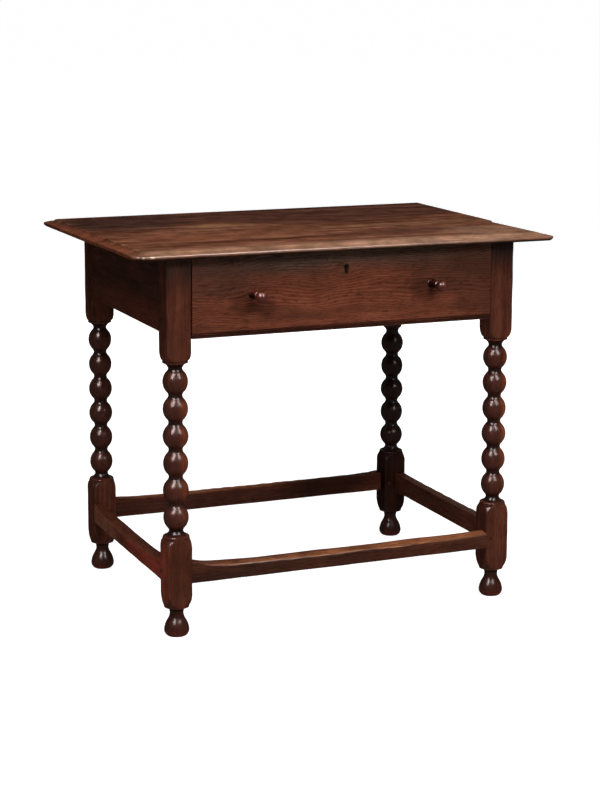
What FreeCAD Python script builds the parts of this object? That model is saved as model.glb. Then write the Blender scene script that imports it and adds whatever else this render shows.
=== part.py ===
import FreeCAD
import Part
import os
from math import atan2, degrees, hypot, sqrt

# Side table with bobbin-turned legs, a moulded two-board top, box stretchers and one side-hung drawer.
# Millimetres. +Z is up, the drawer faces -Y, +X is to the right of someone who faces the drawer.
# Every piece is drawn about the middle of the four legs, on the floor. main() then moves the table
# along Y, so that the origin lies under the middle of its whole outer box, knobs included.

# ---- Driving sizes: the top, which is not quite square ----
table_height = 704.0
top_thickness = 14.0
top_overhang_front = 36.0         # beyond the faces of the front legs
front_board_width_left = 219.0    # the joint between the two boards runs askew
front_board_width_right = 257.0
rear_board_width_left = 349.0
rear_board_width_right = 325.0
front_board_left = 412.0          # ends of the front board at its moulded long edge
front_board_right = 409.0
front_joint_left = 413.0          # ends of the front board at the joint
front_joint_right = 403.0
rear_joint_left = 416.0           # ends of the rear board at the joint
rear_joint_right = 415.0
rear_board_left = 420.0           # ends of the rear board at its moulded long edge
rear_board_right = 420.0
board_joint = 0.3                 # open joint between the two boards
corner_clip_left = 18.0           # the left corners are cut off, the right ones barely
corner_clip_front_right = 4.5
corner_clip_rear_right = 9.0
moulding_width = 20.0
moulding_step = 1.4               # incised step where the moulding starts
moulding_fall = 4.6               # fall of the rounded part towards the edge
moulding_bulge = 1.6
edge_nose = 3.4                   # upright part of the edge
under_bevel = 5.0                 # width of the bevel below the edge

# ---- Driving sizes: the legs ----
leg_spacing_x = 640.0             # centre to centre
leg_spacing_y = 452.0
leg_stock = 46.0
arris_ease = 0.9
foot_pad_radius = 17.0
foot_radius = 22.6
foot_widest = 12.5
foot_bulge = 2.0
foot_shoulder_radius = 17.3
foot_shoulder = 28.6
foot_shoulder_bulge = 0.8
foot_neck_radius = 12.3
foot_neck = 41.0
foot_neck_hollow = 0.8
foot_collar_radius = 13.1
foot_collar = 47.5
foot_cove_bulge = 1.4             # hollow from the collar out to the ring
lower_ring_radius = 22.85
lower_ring_low = 53.3
lower_ring_high = 55.5
lower_block_low = 77.0
lower_block_bulge = 1.2
lower_block_high = 160.0
lower_cap_bulge = 2.0             # roundness of the lower block's top
cap_groove_radius = 26.0
cap_groove_depth = 0.9
cap_groove_low = 178.0
cap_groove_high = 181.4
cap_edge_radius = 22.85
cap_edge = 185.4
lower_neck = 194.1
bobbin_count = 6
bobbin_radius = 22.9
bobbin_curve = 26.5               # radius of the arc across a bobbin, seen from the side
bobbin_neck_radius = 12.6
upper_neck_drop = 199.5           # from the underside of the top to the highest neck
upper_ring_rise = 10.0            # the next four are heights above that neck
upper_ring_height = 4.5
upper_cap_rise = 15.2
upper_block_rise = 31.0
upper_ring_radius = 22.85
upper_cap_radius = 25.0
upper_cap_bulge = 1.4             # roundness of the upper block's foot
cove_bulge = 1.8                  # hollow of the coves beside the blocks

# ---- Driving sizes: rails, stretchers and their joints ----
rail_height = 137.0
rail_thickness = 20.0
rail_inset = 2.0                  # rail face behind the leg face
stretcher_bottom = 99.0
stretcher_height = 38.0
stretcher_thickness = 22.0
stretcher_inset = 0.5
wear_start = 9.0                  # unworn length next to each leg
wear_outer = 12.5                 # how far feet have worn the outer arris down
wear_inner = 8.0
wear_share = {"front": 1.0, "right": 0.1, "rear": 0.3, "left": 0.9}
wear_ramp = 28.0
wear_run = 95.0
tenon_thickness = 8.0
rail_tenon_length = 23.0
stretcher_tenon_length = 26.0
tenon_shoulder = 8.0              # above and below a tenon
mortise_end_gap = 1.0
peg_radius = 3.6
peg_clearance = 0.05
peg_proud = 1.2
peg_setback = 8.5                 # from the shoulder to the peg
peg_depth = 28.0
rail_peg_margin = 34.0
top_peg_radius = 4.5
top_peg_depth = 34.0              # below the underside of the top
side_peg_spacing = 250.0
rear_peg_spacing = 380.0

# ---- Driving sizes: the drawer and its runners ----
drawer_gap_side = 1.6
drawer_gap_top = 1.5
drawer_gap_back = 0.5
drawer_front_height = 145.0
drawer_front_thickness = 20.0
bead_height = 8.0
bead_quirk = 1.5
bead_quirk_height = 1.4
bead_bulge = 1.1
drawer_side_thickness = 15.0
drawer_side_height = 122.0
drawer_back_thickness = 12.0
drawer_bottom_thickness = 7.0
drawer_bottom_gap = 0.3
bottom_board_count = 3
bottom_board_joint = 0.4
bottom_rabbet = 8.0
tail_length = 14.0
tail_width = 34.0
tail_flare = 5.0
tail_margin = 17.0
runner_height = 16.0
runner_rise = 52.0                # above the bottom edge of the drawer side
runner_reach = 7.2                # how far the runner stands into the groove
groove_depth = 8.0
groove_gap_above = 0.3
groove_gap_below = 0.8

# ---- Driving sizes: nails ----
nail_radius = 1.4
nail_head_radius = 3.4
nail_head_thickness = 0.9
nail_length = 24.0
runner_nail_length = 40.0
nail_clearance = 0.04
nail_end_margin = 30.0
runner_nail_count = 3
bottom_nail_count = 4

# ---- Driving sizes: knobs ----
knob_left = -181.5
knob_right = 172.0
knob_rise = 75.0                  # above the bottom edge of the drawer front
knob_ball_radius = 11.0
knob_ball_reach = 42.0            # drawer face to the centre of the ball
knob_neck_radius = 4.6
knob_base_radius = 7.6
knob_base_thickness = 2.6
knob_ring_radius = 6.6
knob_ring_gap = 10.0              # from the ring to the centre of the ball
knob_ring_thickness = 2.4
knob_tenon_radius = 4.4
knob_tenon_clearance = 0.05

# ---- Driving sizes: lock ----
key_drop = 31.0                   # from the top of the drawer front to the keyhole's round head
keyhole_radius = 4.4
keyhole_slot = 5.0
keyhole_drop = 12.0
liner_wall = 1.2
liner_depth = 5.0
lock_width = 64.0
lock_height = 46.0
lock_plate_thickness = 1.5
lock_pocket_depth = 11.0
lock_wood_gap = 0.3
key_pin_radius = 1.5
key_pin_length = 8.0
bolt_width = 24.0
bolt_thickness = 5.0
bolt_height = 20.0
bolt_throw = 8.0
bolt_clearance = 0.4
guide_wall = 1.5
guide_height = 6.0
spring_thickness = 0.8
spring_length = 24.0
lock_nail_inset = 5.0
lock_nail_length = 7.0
socket_depth = 8.6                # pocket for the bolt under the top

# ---- Derived places ----
top_under = table_height - top_thickness
half_x = leg_spacing_x / 2
half_y = leg_spacing_y / 2
half_stock = leg_stock / 2
face_x = half_x + half_stock
face_y = half_y + half_stock
clear_x = half_x - half_stock
clear_y = half_y - half_stock
rail_bottom = top_under - rail_height
upper_neck = top_under - upper_neck_drop
drawer_face = -face_y
drawer_front_back = drawer_face + drawer_front_thickness
drawer_top = top_under - drawer_gap_top
drawer_low = drawer_top - drawer_front_height
knob_height = drawer_low + knob_rise
key_height = drawer_top - key_drop
drawer_half = clear_x - drawer_gap_side
drawer_end = face_y - rail_inset - rail_thickness - drawer_gap_back
side_low = drawer_low + drawer_bottom_thickness + 2 * drawer_bottom_gap
side_high = side_low + drawer_side_height
side_inner = drawer_half - drawer_side_thickness
runner_low = side_low + runner_rise
runner_high = runner_low + runner_height
runner_face = drawer_half - runner_reach
top_front = drawer_face - top_overhang_front
joint_left = top_front + front_board_width_left
joint_right = top_front + front_board_width_right
top_rear_left = joint_left + rear_board_width_left
top_rear_right = joint_right + rear_board_width_right
knobs_front = drawer_face - knob_ball_reach - knob_ball_radius
middle_x = (rear_board_right - rear_board_left) / 2
middle_y = (knobs_front + top_rear_right) / 2

SIDES = ("front", "right", "rear", "left")
WAYS = {"left": -1, "right": 1}


def vec(x, y, z):
    return FreeCAD.Vector(x, y, z)


UP = vec(0, 0, 1)
CENTRE = vec(0, 0, 0)


def box(low, high):
    """Box between two corners, given in any order."""
    a = [min(p, q) for p, q in zip(low, high)]
    b = [max(p, q) for p, q in zip(low, high)]
    return Part.makeBox(b[0] - a[0], b[1] - a[1], b[2] - a[2], vec(*a))


def outline(start, steps):
    """Closed flat outline in the XZ plane.

    A step is (x, z) for a straight line, or (x, z, bulge) for an arc whose middle stands off
    the chord by bulge, to the right of the way upwards when bulge is positive.
    """
    edges = []
    at = start
    for step in steps + [start]:
        end = step[:2]
        p = vec(at[0], 0, at[1])
        q = vec(end[0], 0, end[1])
        if len(step) == 3:
            length = hypot(end[0] - at[0], end[1] - at[1])
            out = vec(end[1] - at[1], 0, at[0] - end[0]) * (step[2] / length)
            edges.append(Part.Arc(p, (p + q) * 0.5 + out, q).toShape())
        else:
            edges.append(Part.makeLine(p, q))
        at = end
    return Part.Face(Part.Wire(edges))


def turned(start, steps):
    """Solid turned about the Z axis from an outline of radius and height."""
    return outline(start, steps).revolve(CENTRE, UP, 360)


def rod(start, way, radius, length):
    """Cylinder from a start point along a direction."""
    return Part.makeCylinder(radius, length, start, way)


def on_side(shape, side):
    """Turn a shape that was drawn at the front of the table to one of its sides, 90 degrees apart."""
    return shape.rotated(CENTRE, UP, 90 * SIDES.index(side))


def side_clear(side):
    """Half of the clear length between the two legs of a side."""
    return clear_x if side in ("front", "rear") else clear_y


def side_face(side):
    """Distance from the centre of the table to the leg faces of a side."""
    return face_y if side in ("front", "rear") else face_x


def nail(head, way, length=nail_length, clearance=0.0):
    """Round nail whose flat head is flush with the head point, driven along a direction."""
    shank = rod(head, way, nail_radius + clearance, length + clearance)
    cap = rod(head, way, nail_head_radius + clearance, nail_head_thickness + clearance)
    return shank.fuse(cap)


def nail_holes(places, length=nail_length):
    """Holes for the nails at (head point, direction) places."""
    return Part.makeCompound([nail(head, way, length, nail_clearance) for head, way in places])


def group(solids):
    """One node that holds several separate pieces."""
    return Part.makeCompound(solids)


# ---- The top ----

def edge_slab(point, turn):
    """Endless slab whose moulded edge faces -Y through the point, turned about Z by some degrees."""
    reach = 2 * (rear_board_left + rear_board_right)
    nose_high = table_height - moulding_step - moulding_fall
    section = outline(
        (-reach, top_under),
        [(-under_bevel, top_under),
         (0, nose_high - edge_nose),
         (0, nose_high),
         (-moulding_width, nose_high + moulding_fall, moulding_bulge),
         (-moulding_width, table_height),
         (-reach, table_height)])
    slab = section.extrude(vec(0, 2 * reach, 0))
    slab.translate(vec(0, -reach, 0))
    slab.rotate(CENTRE, UP, -90)
    slab.rotate(CENTRE, UP, turn)
    slab.translate(vec(point[0], point[1], 0))
    return slab


def joint_y(x):
    """Y of the joint between the two boards, which runs askew."""
    share = (x + rear_joint_left) / (rear_joint_left + rear_joint_right)
    return joint_left + share * (joint_right - joint_left)


def clipped(before, corner, after, clip):
    """The two points that take the place of a corner whose tip is cut off."""
    points = []
    for other in (before, after):
        share = clip / hypot(other[0] - corner[0], other[1] - corner[1])
        points.append((corner[0] + share * (other[0] - corner[0]),
                       corner[1] + share * (other[1] - corner[1])))
    return points


def moulded_board(corners):
    """Board over anticlockwise corners, moulded on every side but the last, which is the joint."""
    loop = [vec(x, y, top_under) for x, y in corners + corners[:1]]
    board = Part.Face(Part.makePolygon(loop)).extrude(vec(0, 0, top_thickness))
    for start, end in zip(corners, corners[1:]):
        turn = degrees(atan2(end[1] - start[1], end[0] - start[0]))
        board = board.common(edge_slab(start, turn))
    return board


def bolt_socket():
    """Pocket under the front board that the lock bolt rises into."""
    gap = 2 * bolt_clearance
    low, high = bolt_section()
    return box((low[0] - gap, low[1] - gap, top_under - gap),
               (high[0] + gap, high[1] + gap, top_under + socket_depth))


def top_peg_places():
    """Pegs down into the front legs, the side rails and the rear rail."""
    rail_middle_x = face_x - rail_inset - rail_thickness / 2
    rail_middle_y = face_y - rail_inset - rail_thickness / 2
    places = []
    for way in WAYS.values():
        places.append((way * half_x, -half_y))
        places.append((way * rail_middle_x, -side_peg_spacing / 2))
        places.append((way * rail_middle_x, side_peg_spacing / 2))
        places.append((way * rear_peg_spacing / 2, rail_middle_y))
    return places


def top_pegs(clearance=0.0):
    """Round pegs that hold the top down, or their holes when a clearance is given."""
    length = top_thickness + top_peg_depth + 2 * clearance
    low = top_under - top_peg_depth - clearance
    return group([rod(vec(x, y, low), UP, top_peg_radius + clearance, length)
                  for x, y in top_peg_places()])


def top_front_board():
    start = (-front_joint_left, joint_y(-front_joint_left) - board_joint / 2)
    left = (-front_board_left, top_front)
    right = (front_board_right, top_front)
    end = (front_joint_right, joint_y(front_joint_right) - board_joint / 2)
    board = moulded_board([start] + clipped(start, left, right, corner_clip_left)
                          + clipped(left, right, end, corner_clip_front_right) + [end])
    return board.cut(top_pegs(peg_clearance)).cut(bolt_socket())


def top_rear_board():
    start = (rear_joint_right, joint_right + board_joint / 2)
    right = (rear_board_right, top_rear_right)
    left = (-rear_board_left, top_rear_left)
    end = (-rear_joint_left, joint_left + board_joint / 2)
    board = moulded_board([start] + clipped(start, right, left, corner_clip_rear_right)
                          + clipped(right, left, end, corner_clip_left) + [end])
    return board.cut(top_pegs(peg_clearance))


# ---- Rails and stretchers ----

def tenons(side, middle_y, low, high, length, end_gap=0.0):
    """The two tenons of a bar drawn at the front, or their mortises when an end gap is given."""
    clear = side_clear(side)
    pieces = []
    for way in WAYS.values():
        pieces.append(box((way * clear, middle_y - tenon_thickness / 2, low + tenon_shoulder),
                          (way * (clear + length + end_gap), middle_y + tenon_thickness / 2,
                           high - tenon_shoulder)))
    return pieces


def bar_pegs(side, heights, depth, clearance=0.0):
    """Pegs through the leg face into the tenons of one side, at the given heights."""
    pegs = []
    start = -side_face(side) - peg_proud
    for way in WAYS.values():
        x = way * (side_clear(side) + peg_setback)
        for z in heights:
            peg = rod(vec(x, start, z), vec(0, 1, 0), peg_radius + clearance,
                      depth + peg_proud + clearance)
            pegs.append(on_side(peg, side))
    return pegs


def rail_middle(side):
    """Middle of a rail's thickness, drawn at the front."""
    return -side_face(side) + rail_inset + rail_thickness / 2


def stretcher_middle(side):
    """Middle of a stretcher's thickness, drawn at the front."""
    return -side_face(side) + stretcher_inset + stretcher_thickness / 2


def rail_pegs_of(side, clearance=0.0):
    heights = (rail_bottom + rail_peg_margin, top_under - rail_peg_margin)
    return bar_pegs(side, heights, peg_depth, clearance)


def stretcher_pegs_of(side, clearance=0.0):
    """Front and rear pegs go right through the leg, side pegs stop inside it."""
    through = side in ("front", "rear")
    depth = leg_stock + peg_proud if through else peg_depth
    return bar_pegs(side, (stretcher_bottom + stretcher_height / 2,), depth, clearance)


def rail(side):
    """Plain upright board between two legs, tenoned into both."""
    clear = side_clear(side)
    middle = rail_middle(side)
    board = box((-clear, middle - rail_thickness / 2, rail_bottom),
                (clear, middle + rail_thickness / 2, top_under))
    for tenon in tenons(side, middle, rail_bottom, top_under, rail_tenon_length):
        board = board.fuse(tenon)
    board = on_side(board.removeSplitter(), side)
    holes = group(rail_pegs_of(side, peg_clearance))
    board = board.cut(holes).cut(top_pegs(peg_clearance))
    if side in WAYS:
        board = board.cut(nail_holes(runner_nail_places(side), runner_nail_length))
    return board


def worn_face(side, y, wear):
    """Upright face of a stretcher whose upper edge is worn down between its ends."""
    clear = side_clear(side)
    low = stretcher_bottom
    high = low + stretcher_height
    worn = high - wear * wear_share[side]
    inner = clear - wear_start
    left = Part.BezierCurve()
    left.setPoles([vec(-inner, y, high), vec(-inner + wear_ramp, y, worn),
                   vec(-inner + wear_run, y, worn), vec(0, y, worn)])
    right = Part.BezierCurve()
    right.setPoles([vec(0, y, worn), vec(inner - wear_run, y, worn),
                    vec(inner - wear_ramp, y, worn), vec(inner, y, high)])
    return Part.Wire([
        Part.makeLine(vec(-clear, y, low), vec(-clear, y, high)),
        Part.makeLine(vec(-clear, y, high), vec(-inner, y, high)),
        left.toShape(),
        right.toShape(),
        Part.makeLine(vec(inner, y, high), vec(clear, y, high)),
        Part.makeLine(vec(clear, y, high), vec(clear, y, low)),
        Part.makeLine(vec(clear, y, low), vec(-clear, y, low))])


def stretcher(side):
    """Square bar near the floor, worn by feet along the top of its outer face."""
    middle = stretcher_middle(side)
    outer = worn_face(side, middle - stretcher_thickness / 2, wear_outer)
    inner = worn_face(side, middle + stretcher_thickness / 2, wear_inner)
    bar = Part.makeLoft([outer, inner], True, True)
    high = stretcher_bottom + stretcher_height
    for tenon in tenons(side, middle, stretcher_bottom, high, stretcher_tenon_length):
        bar = bar.fuse(tenon)
    bar = on_side(bar, side)
    return bar.cut(group(stretcher_pegs_of(side, peg_clearance)))


# ---- Legs ----

def bobbin_steps():
    """Full round bobbins joined by tangent coves, from the lowest neck up to the highest."""
    pitch = (upper_neck - lower_neck) / bobbin_count
    half = pitch / 2
    rise = bobbin_radius - bobbin_neck_radius
    cove = (half ** 2 + rise ** 2) / (2 * rise) - bobbin_curve
    reach = bobbin_curve / (bobbin_curve + cove)
    join_radius = bobbin_radius - rise * reach
    join_rise = half * reach
    cove_chord = hypot(join_radius - bobbin_neck_radius, half - join_rise)
    cove_sag = cove - sqrt(cove ** 2 - (cove_chord / 2) ** 2)
    steps = []
    for i in range(bobbin_count):
        middle = lower_neck + (i + 0.5) * pitch
        steps.append((join_radius, middle - join_rise, -cove_sag))
        steps.append((join_radius, middle + join_rise, rise * reach))
        steps.append((bobbin_neck_radius, middle + half, -cove_sag))
    return steps


def leg(way_x, way_y):
    """One leg turned from a single length of square stock, with its mortises and peg holes."""
    corner = half_stock * sqrt(2) - arris_ease
    foot = [(foot_pad_radius, 0),
            (foot_radius, foot_widest, foot_bulge),
            (foot_shoulder_radius, foot_shoulder, foot_shoulder_bulge),
            (foot_neck_radius, foot_neck, -foot_neck_hollow),
            (foot_collar_radius, foot_collar),
            (lower_ring_radius, lower_ring_low, -foot_cove_bulge)]
    lower_block = [(lower_ring_radius, lower_ring_high),
                   (corner, lower_block_low, lower_block_bulge),
                   (corner, lower_block_high),
                   (cap_groove_radius, cap_groove_low, lower_cap_bulge),
                   (cap_groove_radius - cap_groove_depth, cap_groove_low + cap_groove_depth),
                   (cap_groove_radius - cap_groove_depth, cap_groove_high - cap_groove_depth),
                   (cap_edge_radius + cap_groove_depth, cap_groove_high),
                   (cap_edge_radius, cap_edge, cap_groove_depth),
                   (bobbin_neck_radius, lower_neck, -cove_bulge)]
    upper_block = [(upper_ring_radius, upper_neck + upper_ring_rise, -cove_bulge),
                   (upper_ring_radius, upper_neck + upper_ring_rise + upper_ring_height),
                   (upper_cap_radius, upper_neck + upper_cap_rise),
                   (corner, upper_neck + upper_block_rise, upper_cap_bulge),
                   (corner, top_under),
                   (0, top_under)]
    solid = turned((0, 0), foot + lower_block + bobbin_steps() + upper_block)
    solid = solid.common(stock_envelope())
    solid.translate(vec(way_x * half_x, way_y * half_y, 0))
    return solid.cut(leg_mortises()).cut(top_pegs(peg_clearance))


def stock_envelope():
    """Square stock at the two blocks, with room around the parts that the lathe made round."""
    ring_top = upper_neck + upper_ring_rise + upper_ring_height
    envelope = box((-leg_stock, -leg_stock, 0), (leg_stock, leg_stock, top_under))
    for low, high in ((lower_ring_high, cap_edge), (ring_top, top_under)):
        around = box((-leg_stock, -leg_stock, low), (leg_stock, leg_stock, high))
        block = box((-half_stock, -half_stock, low), (half_stock, half_stock, high))
        envelope = envelope.cut(around.cut(block))
    return envelope


def leg_mortises():
    """Every mortise and peg hole in the four legs."""
    cuts = []
    stretcher_high = stretcher_bottom + stretcher_height
    for side in SIDES:
        holes = tenons(side, stretcher_middle(side), stretcher_bottom, stretcher_high,
                       stretcher_tenon_length, mortise_end_gap)
        cuts += [on_side(hole, side) for hole in holes]
        cuts += stretcher_pegs_of(side, peg_clearance)
    for side in ("rear", "left", "right"):
        holes = tenons(side, rail_middle(side), rail_bottom, top_under,
                       rail_tenon_length, mortise_end_gap)
        cuts += [on_side(hole, side) for hole in holes]
        cuts += rail_pegs_of(side, peg_clearance)
    return group(cuts)


# ---- Drawer runners ----

def runner(side):
    """Bearer nailed to a side rail. The groove in the drawer side hangs on it."""
    way = WAYS[side]
    rail_face = face_x - rail_inset - rail_thickness
    bearer = box((way * rail_face, -clear_y, runner_low), (way * runner_face, clear_y, runner_high))
    return bearer.cut(nail_holes(runner_nail_places(side), runner_nail_length))


def runner_nail_places(side):
    """Nails from the inner face of a runner out into the side rail."""
    way = WAYS[side]
    step = 2 * (clear_y - nail_end_margin) / (runner_nail_count - 1)
    return [(vec(way * runner_face, -clear_y + nail_end_margin + i * step,
                 (runner_low + runner_high) / 2), vec(way, 0, 0))
            for i in range(runner_nail_count)]


def runner_nails():
    return group([nail(head, way, runner_nail_length) for side in WAYS
                  for head, way in runner_nail_places(side)])


# ---- Drawer ----

def tails(way, extra=0.0):
    """The two dovetails at the front end of a drawer side."""
    x_outer = way * (drawer_half + extra)
    x_inner = way * side_inner
    pieces = []
    for low in (side_low + tail_margin, side_high - tail_margin - tail_width):
        corners = [vec(x_inner, drawer_front_back, low + tail_flare),
                   vec(x_inner, drawer_front_back - tail_length, low),
                   vec(x_inner, drawer_front_back - tail_length, low + tail_width),
                   vec(x_inner, drawer_front_back, low + tail_width - tail_flare)]
        face = Part.Face(Part.makePolygon(corners + corners[:1]))
        pieces.append(face.extrude(vec(x_outer - x_inner, 0, 0)))
    return pieces


def keyhole(start_y, depth, grow=0.0):
    """Prism in the shape of a keyhole: a round head above a straight slot."""
    head = rod(vec(0, start_y, key_height), vec(0, 1, 0), keyhole_radius + grow, depth)
    slot = box((-keyhole_slot / 2 - grow, start_y, key_height - keyhole_drop - grow),
               (keyhole_slot / 2 + grow, start_y + depth, key_height))
    return head.fuse(slot).removeSplitter()


def lock_pocket():
    """Recess behind the drawer front for the lock's works, open at the top and at the back."""
    pocket_half = bolt_width / 2 + guide_wall + lock_wood_gap + spring_length / 2
    works = box((-pocket_half, drawer_front_back - lock_pocket_depth,
                 drawer_top - lock_height + 2 * lock_nail_inset),
                (pocket_half, drawer_front_back, drawer_top))
    ledge = box((-lock_width / 2 - lock_wood_gap, drawer_front_back - lock_pocket_depth,
                 drawer_top - lock_plate_thickness),
                (lock_width / 2 + lock_wood_gap, drawer_front_back, drawer_top))
    return works.fuse(ledge)


def drawer_front():
    """Thick front board with a bead along its bottom edge, dovetail sockets and a lock pocket."""
    low = drawer_low
    bead_top = low + bead_height
    section = outline(
        (drawer_face, drawer_top),
        [(drawer_face, bead_top + bead_quirk_height / 2),
         (drawer_face + bead_quirk, bead_top),
         (drawer_face + bead_bulge / 2, bead_top - bead_quirk_height / 2),
         (drawer_face + 2 * bead_bulge, low, -bead_bulge),
         (drawer_front_back, low),
         (drawer_front_back, drawer_top)])
    board = section.rotated(CENTRE, UP, 90).extrude(vec(-2 * drawer_half, 0, 0))
    board.translate(vec(drawer_half, 0, 0))
    for way in WAYS.values():
        for tail in tails(way, extra=1.0):
            board = board.cut(tail)
    rabbet = box((-drawer_half - 1, drawer_front_back - bottom_rabbet - drawer_bottom_gap, low - 1),
                 (drawer_half + 1, drawer_front_back + 1, side_low))
    board = board.cut(rabbet).cut(lock_pocket()).cut(lock_nail_holes())
    board = board.cut(keyhole(drawer_face - 1, drawer_front_thickness + 2))
    board = board.cut(keyhole(drawer_face - 1, liner_depth + 1, liner_wall))
    board = board.cut(nail_holes(bottom_nail_places("front")))
    for x in (knob_left, knob_right):
        board = board.cut(rod(vec(x, drawer_face - 1, knob_height), vec(0, 1, 0),
                              knob_tenon_radius + knob_tenon_clearance, drawer_front_thickness + 2))
    return board


def drawer_side(side):
    """Drawer side with dovetails at the front and a groove for the runner outside."""
    way = WAYS[side]
    board = box((way * side_inner, drawer_front_back, side_low),
                (way * drawer_half, drawer_end, side_high))
    for tail in tails(way):
        board = board.fuse(tail)
    groove = box((way * (drawer_half - groove_depth), drawer_front_back - 1,
                  runner_low - groove_gap_below),
                 (way * (drawer_half + 1), drawer_end + 1, runner_high + groove_gap_above))
    tail_stop = box((way * side_inner, drawer_front_back - tail_length - 1, side_low),
                    (way * (drawer_half + 1), drawer_front_back + nail_end_margin / 2, side_high))
    board = board.removeSplitter().cut(groove.cut(tail_stop))
    holes = bottom_nail_places(side) + back_nail_places(side)
    return board.cut(nail_holes(holes))


def drawer_back():
    board = box((-side_inner, drawer_end - drawer_back_thickness, side_low),
                (side_inner, drawer_end, side_high))
    holes = bottom_nail_places("rear")
    for side in WAYS:
        holes = holes + back_nail_places(side)
    return board.cut(nail_holes(holes))


def bottom_board(index):
    """One of the boards that run from front to back under the drawer."""
    width = 2 * drawer_half / bottom_board_count
    left = -drawer_half + index * width + bottom_board_joint / 2
    right = left + width - bottom_board_joint
    high = side_low - drawer_bottom_gap / 3
    board = box((left, drawer_front_back - bottom_rabbet, high - drawer_bottom_thickness),
                (right, drawer_end, high))
    holes = []
    for edge in SIDES:
        holes = holes + bottom_nail_places(edge)
    return board.cut(nail_holes(holes))


def bottom_nail_places(edge):
    """Nails driven up through the bottom boards along one edge of the drawer."""
    low = side_low - drawer_bottom_gap / 3 - drawer_bottom_thickness
    places = []
    if edge in WAYS:
        x = WAYS[edge] * (side_inner + drawer_half) / 2
        first = drawer_front_back + nail_end_margin
        step = (drawer_end - nail_end_margin - first) / (bottom_nail_count - 1)
        places = [vec(x, first + i * step, low) for i in range(bottom_nail_count)]
    else:
        y = drawer_end - drawer_back_thickness / 2
        if edge == "front":
            y = drawer_front_back - bottom_rabbet / 2
        width = 2 * drawer_half / bottom_board_count
        for i in range(bottom_board_count):
            middle = -drawer_half + (i + 0.5) * width
            places += [vec(middle + way * width / 4, y, low) for way in WAYS.values()]
    return [(place, UP) for place in places]


def back_nail_places(side):
    """Nails from the outer face of a drawer side into the end of the back."""
    way = WAYS[side]
    y = drawer_end - drawer_back_thickness / 2
    return [(vec(way * drawer_half, y, z), vec(-way, 0, 0))
            for z in (side_low + nail_end_margin, side_high - nail_end_margin)]


def drawer_nails():
    places = []
    for edge in SIDES:
        places = places + bottom_nail_places(edge)
    for side in WAYS:
        places = places + back_nail_places(side)
    return group([nail(head, way) for head, way in places])


# ---- Knobs ----

def knob(x):
    """Small ball knob on a long turned neck, with a tenon through the drawer front."""
    ring = knob_ball_reach - knob_ring_gap
    throat = knob_ball_reach - sqrt(knob_ball_radius ** 2 - knob_neck_radius ** 2)
    solid = turned(
        (0, -drawer_front_thickness),
        [(knob_tenon_radius, -drawer_front_thickness),
         (knob_tenon_radius, 0),
         (knob_base_radius, 0),
         (knob_base_radius, knob_base_thickness),
         (knob_neck_radius, ring / 2, -knob_base_thickness / 2),
         (knob_neck_radius, ring - knob_ring_thickness),
         (knob_ring_radius, ring - knob_ring_thickness / 2),
         (knob_neck_radius, min(ring, throat)),
         (0, min(ring, throat))])
    ball = Part.makeSphere(knob_ball_radius, vec(0, 0, knob_ball_reach))
    solid = solid.fuse(ball).fuse(rod(CENTRE, UP, knob_neck_radius, knob_ball_reach))
    solid = solid.removeSplitter()
    solid.rotate(CENTRE, vec(1, 0, 0), 90)
    solid.translate(vec(x, drawer_face, knob_height))
    return solid


# ---- Keyhole and lock ----

def keyhole_liner():
    """Thin metal lining let into the face of the drawer front."""
    outer = keyhole(drawer_face, liner_depth, liner_wall - nail_clearance)
    return outer.cut(keyhole(drawer_face - 1, liner_depth + 2))


def bolt_section():
    """Low and high X and Y of the lock bolt."""
    front = drawer_front_back - lock_pocket_depth / 2 - bolt_thickness / 2
    return (-bolt_width / 2, front), (bolt_width / 2, front + bolt_thickness)


def lock_plate():
    """Plate on the back of the drawer front, with a flange over its top edge for the bolt."""
    half = lock_width / 2
    plate = box((-half, drawer_front_back, drawer_top - lock_height),
                (half, drawer_front_back + lock_plate_thickness, drawer_top))
    flange = box((-half, drawer_front_back - lock_pocket_depth + lock_wood_gap,
                  drawer_top - lock_plate_thickness),
                 (half, drawer_front_back + lock_plate_thickness, drawer_top))
    low, high = bolt_section()
    slot = box((low[0] - bolt_clearance, low[1] - bolt_clearance, drawer_top - lock_height),
               (high[0] + bolt_clearance, high[1] + bolt_clearance, drawer_top + 1))
    plate = plate.fuse(flange).removeSplitter().cut(slot)
    return plate.cut(lock_nail_holes()).cut(key_pin(nail_clearance))


def lock_bolt():
    """Flat bolt, drawn back level with the flange, with a notch for the key."""
    low, high = bolt_section()
    foot = drawer_top - bolt_height
    bolt = box((low[0], low[1], foot), (high[0], high[1], drawer_top))
    notch = box((-keyhole_slot / 2, low[1] - 1, foot - 1),
                (keyhole_slot / 2, high[1] + 1, foot + keyhole_slot))
    return bolt.cut(notch)


def bolt_guide():
    """Strap riveted to the plate that keeps the bolt upright."""
    low, high = bolt_section()
    gap = bolt_clearance
    level = drawer_top - bolt_height / 2
    outer = box((low[0] - gap - guide_wall, low[1] - gap - guide_wall, level - guide_height),
                (high[0] + gap + guide_wall, drawer_front_back, level))
    hollow = box((low[0] - gap, low[1] - gap, level - guide_height - 1),
                 (high[0] + gap, drawer_front_back + 1, level + 1))
    return outer.cut(hollow)


def key_pin(clearance=0.0):
    """Pin on the plate that the hollow key turns on."""
    return rod(vec(0, drawer_front_back + lock_plate_thickness, key_height), vec(0, -1, 0),
               key_pin_radius + clearance, key_pin_length + clearance)


def lock_spring():
    """Leaf spring beside the bolt, with its foot bent against the plate."""
    low, high = bolt_section()
    x = high[0] + bolt_clearance + guide_wall + lock_wood_gap
    base = drawer_top - lock_height + 3 * lock_nail_inset
    leaf = box((x, low[1], base), (x + spring_thickness, high[1], base + spring_length / 2))
    foot = box((x, low[1], base), (x + spring_length / 4, drawer_front_back, base + spring_thickness))
    return leaf.fuse(foot).removeSplitter()


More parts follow.
